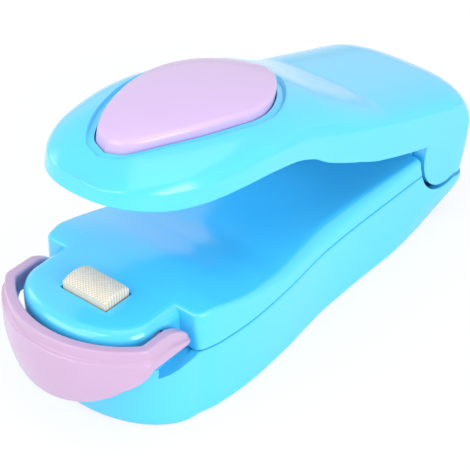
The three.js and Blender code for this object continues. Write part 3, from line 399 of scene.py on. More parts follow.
def make_upper_casing():
    low = seam_z + seam_gap
    shell = add(upper_body("upper_casing", 0, low, seam_soft), nose_body("cutter", 0, low, seam_soft))
    shell = cut(shell, upper_body("cutter", wall, low - 1), nose_body("cutter", wall, low - 1))
    inside = upper_body("cutter", wall / 2, low)
    pocket = ear_radius + pocket_gap
    props = []
    for side in (-1, 1):
        x0, x1 = sorted((side * (pocket_inner - wall), side * pocket_inner))
        props.append(block(x0, x1, hinge_y - pocket - wall, rear_y, low, nose_top))
        for y in screw_rows:
            props.append(post(screw_shaft + boss_wall, side * screw_x, y, low, nose_top))
    props = keep(add(*props), inside)
    barrel = keep(rod(barrel_radius, -pocket_inner, pocket_inner, hinge_y, hinge_z),
                  block(-far_out, far_out, deck_slope_y, rear_y, low, nose_top))
    shell = cut(add(shell, props, barrel), *ear_pockets())
    coil_reach = barrel_radius + coil_gap
    window_x, window_y = heater_half_x + window_gap, heater_half_y + window_gap
    shell = cut(shell,
                block(-coil_bay, coil_bay, hinge_y - coil_reach, hinge_y + coil_reach, low - 1,
                      nose_top),
                rod(pin_radius + fit_gap, -far_out / 2, far_out / 2, hinge_y, hinge_z, 48),
                block(-window_x, window_x, heater_y - window_y, heater_y + window_y, low, nose_top + 1),
                rod(stub_radius + fit_gap, -nose_half - 1, nose_half + 1, pivot_y, pivot_z, 48))
    return dressed(smoothed(shell), "casing", "upper_shell")


upper_casing = make_upper_casing()

# %% [markdown]
# The lower moulding is a tray. Its foot is rounded and its tail is raked, so that it looks thinner
# than it is. From below it shows the battery bay, the channel of the door and four counterbored
# screws, and beside the nose the notch that the guard's heel swings into.

# %% Lower casing
cell_radius, bay_rib, bay_height = 7.1, 1.5, 10
bay_half = 2 * cell_radius + fit_gap
bay_front, bay_length = 16.0, 56.7
bay_rear = bay_front + bay_length
door_raise, door_thick, door_lip, door_front_gap = 0.3, 1.8, 0.9, 1.2
channel_top = door_raise + door_thick + fit_gap
notch_front, notch_low, notch_inner, past_side = -8.7, 14.1, 16.5, 22
notch_outline = [(notch_front, notch_low), (-6.79, 14.5), (-4.79, 15.23), (-2.52, 16.1), (0, seam_z),
                 (0, seam_z + 1), (notch_front, seam_z + 1)]


def make_lower_casing():
    shell = lower_body("lower_casing", 0, 0, seam_z, seam_soft)
    shell = cut(shell, lower_body("cutter", wall, wall, seam_z + 1, 0))
    rib_half, low = bay_half + bay_rib, wall / 2
    roof = block(-rib_half, rib_half, bay_rear, rear_y - rear_corner, low, channel_top + wall)
    ribs = block(-rib_half, rib_half, bay_front - bay_rib, bay_rear + bay_rib, low, bay_height)
    shell = add(shell, ribs, keep(roof, lower_body("cutter", wall / 2, low, seam_z, 0)))
    places = [(x, y) for x in (-screw_x, screw_x) for y in screw_rows]
    for x, y in places:
        shell = add(shell, post(screw_head + boss_wall, x, y, low, seam_z - fit_gap))
    groove, tail = bay_half + door_lip + fit_gap, rear_y + 1
    front = bay_front - door_front_gap
    shell = cut(shell, block(-bay_half, bay_half, bay_front, bay_rear, -1, bay_height + 1),
                block(-bay_half - fit_gap, bay_half + fit_gap, front, tail, -1, channel_top),
                block(-groove, groove, front, tail, low, channel_top))
    for x, y in places:
        shell = cut(shell, post(screw_shaft + fit_gap, x, y, -1, seam_z + 1),
                    post(screw_head + fit_gap, x, y, -1, seam_z - screw_depth))
    for side in (-1, 1):
        ends = sorted((side * notch_inner, side * past_side))
        back, face = sorted((side * (notch_inner - wall), side * past_side))
        liner = block(back, face, notch_front - wall, wall, notch_low - wall, seam_z - fit_gap)
        liner = keep(liner, lower_body("cutter", wall / 2, wall / 2, seam_z, 0))
        notch = loft("cutter", [[(x, y, z) for y, z in notch_outline] for x in ends])
        shell = cut(add(shell, liner), notch)
    shell = cut(shell, *ear_pockets())
    return dressed(smoothed(shell), "casing", "lower_shell")


lower_casing = make_lower_casing()

# %% [markdown]
# ## Lever
# The lever is one long cover, hinged at the rear. Its top swells into a paddle for the thumb, with a
# crisp line where the crown meets the vertical rim band. The line is a small fillet between two
# slopes, so the crown ends in a straight chord instead of rolling over into the band.

# %% Shape of the lever
arm_length, arm_rear, arm_corner, arm_corner_power = 104.8, 10.2, 4, 2.2
paddle_start, paddle_power, arm_wall, arm_roof = 72.0, 2.45, 2, 2.6
arm_span = profile([(-arm_rear, ear_outer), (20, ear_outer), (50, 19.3), (paddle_start, 20.3)])
rim_height = profile([(-arm_rear, 1), (11, 1.1), (29, 1.8), (37, 3), (43, 4), (49, 5.3), (55, 7.3),
                      (62, 8.2), (70, 7.9), (79, 6.6), (88, 4.8), (96, 3.5), (arm_length, 2.9)])
crease_height = profile([(-arm_rear, 2.5), (-9, 3.5), (-7, 5), (-5.3, 6.9), (-3, 8.6), (0, 9.2),
                         (11, 9.6), (39, 10.5), (50, 11.1), (57, 11.8), (62, 12.2), (70, 11.9),
                         (79, 10.6), (88, 8.7), (95, 7.6), (arm_length, 5.6)])
crown_height = profile([(-arm_rear, 6.8), (-9.4, 9.4), (-8, 11.5), (-5, 13), (0, 13.6), (15, 13.6),
                        (26, 13.6), (34, 15), (42, 17), (50, 18.6), (58, 19), (72, 18), (88, 14.8),
                        (95, 12.4), (100, 9.5), (arm_length, 5.6)])
crown_power, crown_root = 3.2, 0.62
flare_top, flare_drop, flare_share = 6, 9, 0.2


def arm_half(s, inset=0.0):
    s = np.asarray(s, float)
    tip_share = (s - paddle_start) / (arm_length - inset - paddle_start)
    rear_share = (-arm_rear + arm_corner - s) / (arm_corner - inset)
    tip = np.where(tip_share > 0, round_end(np.maximum(tip_share, 0), paddle_power), 1)
    rear = np.where(rear_share > 0, round_end(np.maximum(rear_share, 0), arm_corner_power), 1)
    return np.maximum((arm_span(s) - inset) * tip * rear, 0.5)


def crown_rise(share):
    return (1 - np.minimum(share, 1) ** crown_power) ** crown_root


def arm_top(s, x):
    share = np.minimum(np.abs(x) / arm_half(s), 1)
    return crease_height(s) + (crown_height(s) - crease_height(s)) * crown_rise(share)


def lifted(points):
    """Points drawn along the lever (x, reach, height), turned up to where its spring holds it."""
    points = np.asarray(points, float)
    x, reach, height = points[..., 0], points[..., 1], points[..., 2]
    y = hinge_y - reach * math.cos(open_tilt) + height * math.sin(open_tilt)
    z = hinge_z + reach * math.sin(open_tilt) + height * math.cos(open_tilt)
    return np.stack([x, y, z], -1)


print("lever: %.1f mm from its hinge to its tip" % arm_length)

# %% [markdown]
# ## Outline of the thumb button
# The button is a leaf, pointed towards the hinge and round in front. A moat runs round it: the
# cover dips and the button stands in the dip. How far a place lies outside the outline decides how
# deep the cover is there.

# %% Button outline and the moat round it
button_rear, button_front, button_widest = 50.3, 97.7, 12.9
button_outline = profile([(button_rear, 0), (51, 2.2), (52.5, 4.4), (55, 6.7), (59, 9.6), (63, 11.6),
                          (66.5, 12.6), (70, button_widest), (75, 12.4), (80, 11.5), (85, 10), (90, 8),
                          (94, 5.8), (96.5, 3.6), (button_front, 0)])
moat_width, moat_depth, moat_slope, moat_rim = 1.7, 0.8, 0.55, 0.5


def button_half(s, margin):
    length = button_front - button_rear
    share = (np.asarray(s, float) - button_rear + margin) / (length + 2 * margin)
    half = button_outline(button_rear + share * length)
    half = np.where((share < 0) | (share > 1), 0, half)
    return half * (button_widest + margin) / button_widest


def outside_button(s, x):
    """How far a place lies outside the button's outline, found by halving."""
    low, high = np.full(np.shape(s), -4.0), np.full(np.shape(s), 8.0)
    for _ in range(22):
        middle = (low + high) / 2
        inside = np.abs(x) < button_half(s, middle)
        high = np.where(inside, middle, high)
        low = np.where(inside, low, middle)
    return (low + high) / 2


def moat_at(s, x):
    away = outside_button(s, x)
    share = np.clip((moat_width + moat_rim - away) / moat_slope, 0, 1)
    return moat_depth * share * share * (3 - 2 * share)


print("button: %.1f mm long, %.1f mm wide" % (button_front - button_rear, 2 * button_widest))

# %% [markdown]
# The cover's skin has a point about every third of a millimetre, because the wall of the moat has to
# come out crisp. It is hollowed like the casing, and its rear carries two ears round the hinge pin.

# %% Lever cover
def soft_corner(before, corner, after, reach, count=5):
    """A corner rounded by a quadratic curve that starts and ends a given reach away from it."""
    before, corner, after = (np.array(p, float) for p in (before, corner, after))

    def towards(other):
        distance = max(np.linalg.norm(other - corner), 1e-6)
        return corner + (other - corner) * min(reach / distance, 0.5)
    start, end = towards(before), towards(after)
    u = np.linspace(0, 1, count)[:, None]
    return (1 - u) ** 2 * start + 2 * u * (1 - u) * corner + u * u * end


def flared(s, height):
    """Behind the hinge the cover leans back, more so the lower it is."""
    lean = min(max((flare_top - height) / flare_drop, 0), 1)
    return s * (1 + flare_share * lean * (2 - lean)) if s < 0 else s


def arm_section(s, inset, roof, low, crisp):
    half = float(arm_half(s, inset))
    rim = float(rim_height(s))
    bottom = rim if low is None else low
    crease = max(float(crease_height(s)) - roof / 3, rim + 0.5)
    rise = max(float(crown_height(s)) - roof - crease, 0.5)
    if not crisp:
        shares = np.array([0.98, 0.95, 0.9, 0.83, 0.74, 0.6, 0.44, 0.24, 0])
        side = [(half, height) for height in np.linspace(bottom, crease, 12)]
        side += [(half * share, crease + rise * float(crown_rise(share))) for share in shares]
        side = np.array(side)
    else:
        widest, sweep = 0.94, 1.35
        shares = (widest * np.sin(np.linspace(0, sweep, 76)) / math.sin(sweep))[::-1]
        x = half * shares
        z = crease + rise * crown_rise(shares) - moat_at(np.full(x.shape, s), x)
        crown = np.stack([x, z], -1)
        foot = soft_corner((0, bottom), (half, bottom), (half, crease), 0.45)
        line = soft_corner((half, bottom), (half, crease), crown[0], 0.5, 7)
        band = [(half, height) for height in np.linspace(foot[-1][1], line[0][1], 10)[1:-1]]
        side = np.vstack([foot, band, line, crown])
    points = np.array([(x, flared(s, z), z) for x, z in side])
    return np.vstack([points, points[:-1][::-1] * [-1, 1, 1]])


def arm_places(inset, rear_count, middle, tip_count):
    """Places along the lever, closer together towards both ends."""
    rear_reach = (arm_corner - inset) * near_end
    tip_reach = (arm_length - inset - paddle_start) * near_tip
    rear = -arm_rear + arm_corner + rear_reach * np.sin(turns(rear_count, -90, 0))
    tip = paddle_start + tip_reach * np.sin(turns(tip_count)[1:])
    return np.concatenate([rear[:-1], middle, tip])


def arm_body(name, inset, roof, low, crisp=False):
    rear_start, dense_from = -arm_rear + arm_corner, 46
    if crisp:
        middle = np.concatenate([np.linspace(rear_start, dense_from, 90)[:-1],
                                 np.linspace(dense_from, paddle_start, 90)])
        places = arm_places(inset, 16, middle, 120)
    else:
        places = arm_places(inset, 8, np.linspace(rear_start, paddle_start, 40), 24)
    return loft(name, [lifted(arm_section(s, inset, roof, low, crisp)) for s in places])


end_trim = 0.0015


def button_slab(name, margin, low, high, crown=0.0, soft=0.0, dense=False):
    """A slab inside the button's outline, let out by a margin, that follows the crown of the lever."""
    length = button_front - button_rear + 2 * margin
    count = 90 if dense else 40
    eased = (1 - np.cos(np.pi * np.linspace(0, 1, count))) / 2
    rings = []
    for s in button_rear - margin + length * (end_trim + (1 - 2 * end_trim) * eased):
        half = max(float(button_half(s, margin)), 0.3)
        edge = min(soft, half / 2)
        side = [(half * share, s, float(arm_top(s, half * share)) + low) for share in (0.5, 1)]
        if soft:
            for t in turns(6):
                x = half - edge * (1 - math.cos(t))
                side.append((x, s, float(arm_top(s, x)) + high - soft * (1 - math.sin(t))))
        flat_half = half - edge
        for share in np.linspace(1, 0, 12)[(1 if soft else 0):-1]:
            x = flat_half * share
            dome = crown * (half / button_widest) * (1 - share * share)
            side.append((x, s, float(arm_top(s, x)) + high + dome))
        side = np.array(side)
        dome = crown * half / button_widest
        ring = np.vstack([[(0, s, float(arm_top(s, 0)) + low)], side,
                          [(0, s, float(arm_top(s, 0)) + high + dome)], side[::-1] * [-1, 1, 1]])
        rings.append(lifted(ring))
    return loft(name, rings)


def lifted_block(x0, x1, s0, s1, low, high):
    ring = [(s0, low), (s1, low), (s1, high), (s0, high)]
    return loft("cutter", [lifted([(x, s, h) for s, h in ring]) for x in (x0, x1)])


floor_top, floor_under, hollow_from, outline_from = -0.2, -3.1, -4.2, -10.8
web_front, web_rear, web_top, slot_rear, slot_top = 9.8, -4.8, 7.6, -21, 5.8
arm_screw_x, arm_screw_s, arm_boss_low, boss_drop = 9, 42, 6.4, 2.1
boss_reach, bore_skin = 2.7, 1.2


def make_lever_cover():
    shell = arm_body("lever_cover", 0, 0, None, True)
    shell = cut(shell, arm_body("cutter", arm_wall, arm_roof, hollow_from))
    shell = add(shell, keep(button_slab("cutter", moat_width + wall, floor_under, -1.6),
                            arm_body("cutter", 0.5, 0.5, hollow_from)))
    outline = arm_body("cutter", 0.02, 0.02, outline_from)
    ears = None
    for side in (-1, 1):
        x0, x1 = sorted((side * ear_inner, side * ear_outer))
        x2, x3 = sorted((side * ear_inner, side * (ear_outer - 1)))
        heel = rod(ear_heel_radius, x0, x1, hinge_y + ear_heel[0], hinge_z + ear_heel[1])
        web = lifted_block(x2, x3, web_rear, web_front, 0, web_top)
        made = add(rod(ear_radius, x0, x1, hinge_y, hinge_z, 160), heel, web)
        ears = add(ears, made) if ears else made
    slot = lifted_block(-ear_inner, ear_inner, 0, slot_rear, -10, slot_top)
    shell = add(cut(shell, slot), keep(ears, outline))
    bore_end = ear_outer - bore_skin
    shell = cut(shell, rod(pin_radius + fit_gap, -bore_end, bore_end, hinge_y, hinge_z, 48),
                button_slab("cutter", fit_gap, -6, floor_top, dense=True))
    boss_top = float(arm_top(arm_screw_s, arm_screw_x)) - boss_drop
    for x in (-arm_screw_x, arm_screw_x):
        rings = [[(x + boss_reach * math.cos(t), arm_screw_s + boss_reach * math.sin(t), h)
                  for t in turns(24, 0, 345)] for h in (arm_boss_low, boss_top)]
        shell = add(shell, loft("cutter", lifted(rings)))
    return dressed(smoothed(shell), "lever", "arm_shell")


lever_cover = make_lever_cover()

# %% [markdown]
# ## Thumb button
# The button is a lilac moulding with a low crown and a soft edge that catches a thin line of light.

# %% Thumb button
button_proud, button_crown, button_soft, cap_low, flange_low = 1.4, 0.8, 0.9, -4.4, -4.2
presser_rear, far_tip, far_side, far_low, far_high = 92.3, 106, 25, -5, 25


def make_thumb_pad():
    pad = button_slab("thumb_pad", 0, cap_low, button_proud, button_crown, button_soft, True)
    flange = button_slab("cutter", moat_width, flange_low, floor_under)
    rings = [[(-far_side, s, far_low), (far_side, s, far_low),
              (far_side, s, far_high), (-far_side, s, far_high)] for s in (presser_rear, far_tip)]
    flange = cut(flange, loft("cutter", lifted(rings)))
    return dressed(smoothed(add(pad, flange)), "button", "thumb_button")


thumb_pad = make_thumb_pad()

# %% [markdown]
# ## Guard
# The guard swings up over the nose so that nobody touches the hot strip in a drawer. It has two
# straight arms with a heel behind each pivot, and an arc in front: a plate that hangs like a chin,
# with a slimmer rim above it. Each section is a small polygon whose corners are softened before the
# sections are lofted.

# %% Guard
guard_edge = profile([(0, 9.9), (0.08, 9.93), (0.2, 10.2), (0.34, 10.75), (0.46, 11.4), (0.57, 12.45),
                      (0.69, 13.95), (0.78, 15.5), (0.91, 17.2), (1, 19)])
guard_half, guard_inner_half = 20.2, 17.1
guard_outer, guard_inner = (guard_half, 25.2, 1.8), (guard_inner_half, 22.2, 2.0)
rim_middle, rim_side, guard_arm_z = 25, 24.6, 19.8
rim_step, rim_step_share, rim_share = 2.7, 0.62, 0.27
crease_middle, crease_climb, tuck_share, tuck_height = 14.9, 1.7, 0.24, 4
corner_share, straight_reach = 0.96, 10.4
heel_top = profile([(0, 21), (0.3, 21.5), (1, 22.3), (2.2, 23.2), (3.8, 24.1), (5.4, rim_side),
                    (straight_reach, rim_side)])
heel_low = profile([(0, 19.9), (0.3, guard_arm_z), (straight_reach, guard_arm_z)])
heel_draw = profile([(0, 0.7), (0.3, 0.35), (1, 0.1), (2.2, 0), (straight_reach, 0)])


def guard_arc(share, line):
    """A point of the arc, at a share from its middle (0) to its corner (1)."""
    half, radius, centre_y = line
    turn = math.asin(half / radius) * share
    return np.array([radius * math.sin(turn), centre_y - radius * math.cos(turn)])


def guard_section(outer, inner, bottom, top, share):
    """A plate that stands proud of the rim above it and tucks in at its foot."""
    def at(inward, z):
        x, y = outer + (inner - outer) * inward
        return (x, y, z)
    step = top - min(rim_step, rim_step_share * (top - bottom))
    crease = min(max(crease_middle + crease_climb * abs(share), bottom + 0.2), step - 0.3)
    tuck = tuck_share * min(1.0, (crease - bottom) / tuck_height)
    corners = [at(1, bottom), at(tuck, bottom), at(0, crease), at(0, step - 0.2),
               at(rim_share, step + 0.15), at(rim_share, top - 0.4), at(0.33, top), at(0.9, top),
               at(1, top - 0.4)]
    reaches = [0.3, 0.5, 1.0, 0.4, 0.35, 0.35, 0.4, 0.4, 0.4]
    ring = []
    for i, corner in enumerate(corners):
        after = corners[(i + 1) % len(corners)]
        ring.append(soft_corner(corners[i - 1], corner, after, reaches[i], 6))
    return np.vstack(ring)


def heel_sections():
    sections = []
    places = [np.linspace(0, 1, 9), np.linspace(1, 5.4, 14)[1:], [7.0, 9.0, straight_reach]]
    for back in np.concatenate(places):
        y, draw = pivot_y + heel_reach - back, float(heel_draw(back))
        sections.append(guard_section(np.array([guard_half - draw, y]),
                                      np.array([guard_inner_half + draw, y]),
                                      float(heel_low(back)), float(heel_top(back)), 1))
    return sections


def corner_sections():
    """The corner between arm and arc, rounded by a quadratic curve like every other edge."""
    sections = []
    arm_end = (np.array([guard_half, -12.4]), np.array([guard_inner_half, -11.4]), 19.7)
    corner = (guard_arc(1, guard_outer), guard_arc(1, guard_inner), 19.1)
    arc_end = (guard_arc(corner_share, guard_outer), guard_arc(corner_share, guard_inner),
               float(guard_edge(corner_share)))
    for u in np.linspace(0, 1, 9)[:-1]:
        weights = ((1 - u) ** 2, 2 * u * (1 - u), u * u)
        outer, inner, bottom = (sum(w * end[i] for w, end in zip(weights, (arm_end, corner, arc_end)))
                                for i in range(3))
        sections.append(guard_section(outer, inner, bottom, rim_side, 1))
    return sections


def make_guard():
    side_sections = heel_sections() + corner_sections()
    sections = list(side_sections)
    for share in np.linspace(corner_share, -corner_share, 161):
        top = rim_middle - (rim_middle - rim_side) * share * share
        sections.append(guard_section(guard_arc(share, guard_outer), guard_arc(share, guard_inner),
                                      float(guard_edge(abs(share))), top, share))
    sections += [section * [-1, 1, 1] for section in side_sections[::-1]]
    guard = loft("nose_guard", sections)
    for side in (-1, 1):
        x0, x1 = sorted((side * (nose_half - 3.2), side * (guard_inner_half + 1)))
        guard = add(guard, rod(stub_radius, x0, x1, pivot_y, pivot_z, 48))
    return dressed(smoothed(guard, 50), "guard", "guard")


nose_guard = make_guard()

# %% [markdown]
# ## Heater cloth and presser
# The hot ribbon is covered by PTFE-coated glass cloth, folded over the heater and slightly arched,
# so that melted plastic lets go of it. The presser above it is a soft silicone bar.

# %% Heater cloth
arch_rise, skirt_z, end_drop, end_narrow, end_power = 0.8, 24, 0.9, 0.1, 7


def make_heater_cloth():
    sections = []
    for turn in np.linspace(-90, 90, 49):
        share = math.sin(math.radians(turn))
        ended = float(round_end(share, end_power))
        x, half = heater_half_x * share, heater_half_y * (1 - end_narrow + end_narrow * ended)
        top = heater_top - end_drop * (1 - ended)
        arch = [(x, heater_y + half * y, top - arch_rise * y * y) for y in np.linspace(-1, 1, 41)]
        foot = [(x, heater_y + half, skirt_z), (x, heater_y - half, skirt_z)]
        sections.append(arch + foot)
    return dressed(smoothed(loft("heater_cloth_cover", sections), 50), "heater", "heater_cloth")


heater_cloth = make_heater_cloth()

# %% [markdown]
# ## Colours and one helper for nodes
# A hex colour is written in sRGB, the shader works in linear light, so one function converts.

# %% Colour and node helpers
def linear(code):
    values = [int(code[i:i + 2], 16) / 255 for i in (1, 3, 5)]
    bent = [v / 12.92 if v <= 0.04045 else ((v + 0.055) / 1.055) ** 2.4 for v in values]
    return tuple(bent) + (1.0,)


def node(tree, kind, settings=None, links=None):
    made = tree.nodes.new(kind)
    for key, value in (settings or {}).items():
        if hasattr(made, key):
            setattr(made, key, value)
        else:
            made.inputs[key].default_value = value
    for key, source in (links or {}).items():
        tree.links.new(source, made.inputs[key])
    return made


def material(name):
    made = bpy.data.materials.new(name)
    made.use_nodes = True
    made.node_tree.nodes.clear()
    return made, made.node_tree


def finish_material(tree, shader):
    node(tree, "ShaderNodeOutputMaterial", links={"Surface": shader.outputs[0]})


# %% [markdown]
# ## Moulded ABS
# ABS comes out of a polished mould glossy, with a very faint orange peel where it shrank. Bump of a
# few micrometres at about 3 mm spacing gives that, and a Bevel node rounds the light on cut edges,
# as no moulded edge is truly sharp.

# %% Glossy and satin ABS
cloud_mm, abs_ior = 40, 1.53


def moulded_abs(name, code, deep_code, roughness, peel_mm, glow=0.0, coat_rough=0.12):
    made, tree = material(name)
    place = node(tree, "ShaderNodeTexCoord")
    peel = node(tree, "ShaderNodeTexNoise", {"Scale": 1000 / peel_mm, "Detail": 3.0, "Roughness": 0.5},
                {"Vector": place.outputs["Object"]})
    cloud = node(tree, "ShaderNodeTexNoise", {"Scale": 1000 / cloud_mm, "Detail": 2.0},
                 {"Vector": place.outputs["Object"]})
    tint = node(tree, "ShaderNodeMix", {"data_type": "RGBA"})
    tint.inputs[6].default_value = linear(code)
    tint.inputs[7].default_value = linear(deep_code)
    middle = {"From Min": 0.3, "From Max": 0.7}
    ramp = node(tree, "ShaderNodeMapRange", middle, {"Value": cloud.outputs["Fac"]})
    tree.links.new(ramp.outputs["Result"], tint.inputs[0])
    spread = {"To Min": roughness * 0.95, "To Max": roughness * 1.05}
    rough = node(tree, "ShaderNodeMapRange", {**middle, **spread}, {"Value": peel.outputs["Fac"]})
    edge = node(tree, "ShaderNodeBevel", {"samples": 6, "Radius": 0.0002})
    bump = node(tree, "ShaderNodeBump", {"Strength": 0.02, "Distance": 0.00002},
                {"Height": peel.outputs["Fac"], "Normal": edge.outputs["Normal"]})
    shader = node(tree, "ShaderNodeBsdfPrincipled",
                  {"IOR": abs_ior, "Coat Weight": glow, "Coat Roughness": coat_rough},
                  {"Base Color": tint.outputs[2], "Roughness": rough.outputs["Result"],
                   "Normal": bump.outputs["Normal"]})
    finish_material(tree, shader)
    return made


blue_abs = moulded_abs("blue_abs_moulded", "#4DCDFB", "#49CAFA", 0.22, 3.0, 0.45)
lilac_abs = moulded_abs("lilac_abs_moulded", "#CFB4DF", "#CCB0DD", 0.26, 3.0, 0.2)
# The guard's finish is a darker copy of the button's lilac ABS: the darkening is painted shade on the same
# plastic, for less light than the front lamps give it.
guard_abs_painted_shade = moulded_abs("lilac_abs_painted_shade", "#C3A4C4", "#C0A0C1", 0.24, 3.0, 0.25)
grey_abs = moulded_abs("grey_abs_satin", "#B9BEC4", "#AEB4BB", 0.5, 1.2)
heat_plastic = moulded_abs("heat_resistant_nylon", "#3A3632", "#322E2B", 0.6, 0.8)
print("moulded finishes:", [made.name for made in (blue_abs, lilac_abs, guard_abs_painted_shade, grey_abs)])

# %% [markdown]
# ## PTFE-coated glass cloth
# A plain weave of glass yarn, about 0.3 mm apart, under a thin smooth coat. Here it is drawn 0.75 mm
# apart, because finer would not show in the picture. Threads are crossed sine waves, tan where the
# coat is thin over the yarn.

# %% Coated glass cloth
weave_mm, speck_scale = 0.75, 900


def coated_cloth():
    made, tree = material("ptfe_coated_glass_cloth")
    place = node(tree, "ShaderNodeTexCoord")
    axes = node(tree, "ShaderNodeSeparateXYZ", links={"Vector": place.outputs["Object"]})
    spacing = weave_mm / 1000

    def wave(value, phase):
        scaled = node(tree, "ShaderNodeMath", {"operation": "MULTIPLY_ADD"}, {0: value})
        scaled.inputs[1].default_value = 2 * math.pi / spacing
        scaled.inputs[2].default_value = phase
        sine = node(tree, "ShaderNodeMath", {"operation": "SINE"}, {0: scaled.outputs[0]})
        return sine.outputs[0]

    across = wave(axes.outputs["X"], 0.0)
    along = wave(axes.outputs["Y"], 0.6)
    crossed = node(tree, "ShaderNodeMath", {"operation": "MULTIPLY"}, {0: across, 1: along})
    speck = node(tree, "ShaderNodeTexNoise", {"Scale": speck_scale, "Detail": 2.0},
                 {"Vector": place.outputs["Object"]})
    weave = node(tree, "ShaderNodeMath", {"operation": "ADD"},
                 {0: crossed.outputs[0], 1: speck.outputs["Fac"]})
    shade = node(tree, "ShaderNodeMapRange", {"From Min": -0.2, "From Max": 1.5},
                 {"Value": weave.outputs[0]})
    tint = node(tree, "ShaderNodeMix", {"data_type": "RGBA"}, {0: shade.outputs["Result"]})
    tint.inputs[6].default_value = linear("#D9C6A6")
    tint.inputs[7].default_value = linear("#F4F0E8")
    bump = node(tree, "ShaderNodeBump", {"Strength": 0.5, "Distance": 0.00008},
                {"Height": crossed.outputs[0]})
    shader = node(tree, "ShaderNodeBsdfPrincipled", {"Roughness": 0.42, "IOR": 1.38},
                  {"Base Color": tint.outputs[2], "Normal": bump.outputs["Normal"]})
    finish_material(tree, shader)
    return made


cloth_finish = coated_cloth()
print("cloth finish:", cloth_finish.name)

# %% [markdown]
# ## Silicone, metals, cells and sleeves
# Silicone is soft and matt. The springs, pins and screws are steel with a nickel plate, drawn through
# a die or turned, so fine lines run round them. The cells have a plain wrapped can.

# %% Small finishes
def fine_surface(name, code, deep_code, metal, roughness, grain_mm, stretch=(1, 1, 1)):
    made, tree = material(name)
    place = node(tree, "ShaderNodeTexCoord")
    laid = node(tree, "ShaderNodeMapping", links={"Vector": place.outputs["Object"]})
    laid.inputs["Scale"].default_value = stretch
    grain = node(tree, "ShaderNodeTexNoise", {"Scale": 1000 / grain_mm, "Detail": 4.0},
                 {"Vector": laid.outputs["Vector"]})
    ramp = node(tree, "ShaderNodeMapRange", {"From Min": 0.35, "From Max": 0.65},
                {"Value": grain.outputs["Fac"]})
    tint = node(tree, "ShaderNodeMix", {"data_type": "RGBA"}, {0: ramp.outputs["Result"]})
    tint.inputs[6].default_value = linear(code)
    tint.inputs[7].default_value = linear(deep_code)
    rough = node(tree, "ShaderNodeMapRange", {"To Min": roughness * 0.8, "To Max": roughness * 1.25},
                 {"Value": grain.outputs["Fac"]})
    bump = node(tree, "ShaderNodeBump", {"Strength": 0.2, "Distance": 0.00003},
                {"Height": grain.outputs["Fac"]})
    shader = node(tree, "ShaderNodeBsdfPrincipled", {"Metallic": metal},
                  {"Base Color": tint.outputs[2], "Roughness": rough.outputs["Result"],
                   "Normal": bump.outputs["Normal"]})
    finish_material(tree, shader)
    return made


pink_silicone = fine_surface("silicone_moulded", "#E4D6D0", "#DECDC7", 0.0, 0.6, 0.5)
nickel_steel = fine_surface("nickel_plated_steel", "#D2D0CB", "#C4C1BA", 1.0, 0.26, 0.4, (1, 1, 6))
nichrome = fine_surface("nichrome_ribbon", "#A39B90", "#8F877D", 1.0, 0.38, 0.3, (1, 8, 1))
brass = fine_surface("contact_brass_rolled", "#D6B25E", "#C7A04C", 1.0, 0.3, 0.3, (6, 1, 1))
cell_can = fine_surface("wrapped_cell_can", "#5C6670", "#525C66", 0.35, 0.36, 1.5)
red_pvc = fine_surface("red_pvc_sleeve", "#B3261E", "#A8221B", 0.0, 0.5, 0.6)
black_pvc = fine_surface("black_pvc_sleeve", "#1F1F22", "#18181A", 0.0, 0.5, 0.6)
print("other finishes:", [made.name for made in (pink_silicone, nickel_steel, brass, cell_can)])

# %% [markdown]
# Every node that stays, and every new piece, gets its finish here.

# %% Give out the finishes
finishes = {
    "blue_abs": blue_abs, "lilac_abs": lilac_abs, "grey_abs": grey_abs,
    "heat_plastic": heat_plastic, "coated_cloth": cloth_finish, "pink_silicone": pink_silicone,
    "nickel_steel": nickel_steel, "contact_brass": brass, "cell_can": cell_can,
    "red_pvc": red_pvc, "black_pvc": black_pvc,
}


def give(piece, finish):
    piece.data.materials.clear()
    piece.data.materials.append(finish)


for part in frame["record"]["subparts"]:
    give(frame["nodes"][part["node"]], finishes[part["material_slot"]])
give(frame["nodes"]["heater_ribbon"], nichrome)
for piece, slot in ((upper_casing, "blue_abs"), (lower_casing, "blue_abs"),
                    (lever_cover, "blue_abs"), (thumb_pad, "lilac_abs"),
                    (nose_guard, "lilac_abs"), (heater_cloth, "coated_cloth")):
    give(piece, finishes[slot])
# The guard then takes its darker lilac, which is painted shade over the same plastic as the button.
give(nose_guard, guard_abs_painted_shade)

# %% [markdown]
# ## Stage, light and camera
# The photograph is a studio shot on white, taken from the front right and above. The floor takes a
# faint shadow, and where the camera sees it directly it is lifted to white.

# %% Floor
floor_half, floor_z, lifted_share = 3, -0.0002, 0.8


def make_floor():
    made, tree = material("studio_floor")
    path = node(tree, "ShaderNodeLightPath")
    card = node(tree, "ShaderNodeBsdfDiffuse", {"Color": (0.92, 0.92, 0.92, 1)})
    white = node(tree, "ShaderNodeEmission", {"Color": (1, 1, 1, 1), "Strength": 1.0})
    share = node(tree, "ShaderNodeMath", {"operation": "MULTIPLY"}, {0: path.outputs["Is Camera Ray"]})
    share.inputs[1].default_value = lifted_share
    mixed = node(tree, "ShaderNodeMixShader",
                 links={0: share.outputs[0], 1: card.outputs[0], 2: white.outputs[0]})
    finish_material(tree, mixed)
    mesh = bpy.data.meshes.new("floor")
    corners = [(-floor_half, -floor_half, 0), (floor_half, -floor_half, 0),
               (floor_half, floor_half, 0), (-floor_half, floor_half, 0)]
    mesh.from_pydata(corners, [], [(0, 1, 2, 3)])
    floor = bpy.data.objects.new("floor", mesh)
    bpy.context.scene.collection.objects.link(floor)
    floor.location.z = floor_z
    mesh.materials.append(made)
    floor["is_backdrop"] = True


make_floor()
print("floor: %d m square" % (2 * floor_half))

# %% [markdown]
# Softboxes stand for the studio's lamps: a large one above, one at the right for the sides, one in
# front for the guard, and two narrow ones whose reflections draw thin lines of light along the edges.
# The world is plain white to the camera and to reflections, and a weaker fill for everything else.

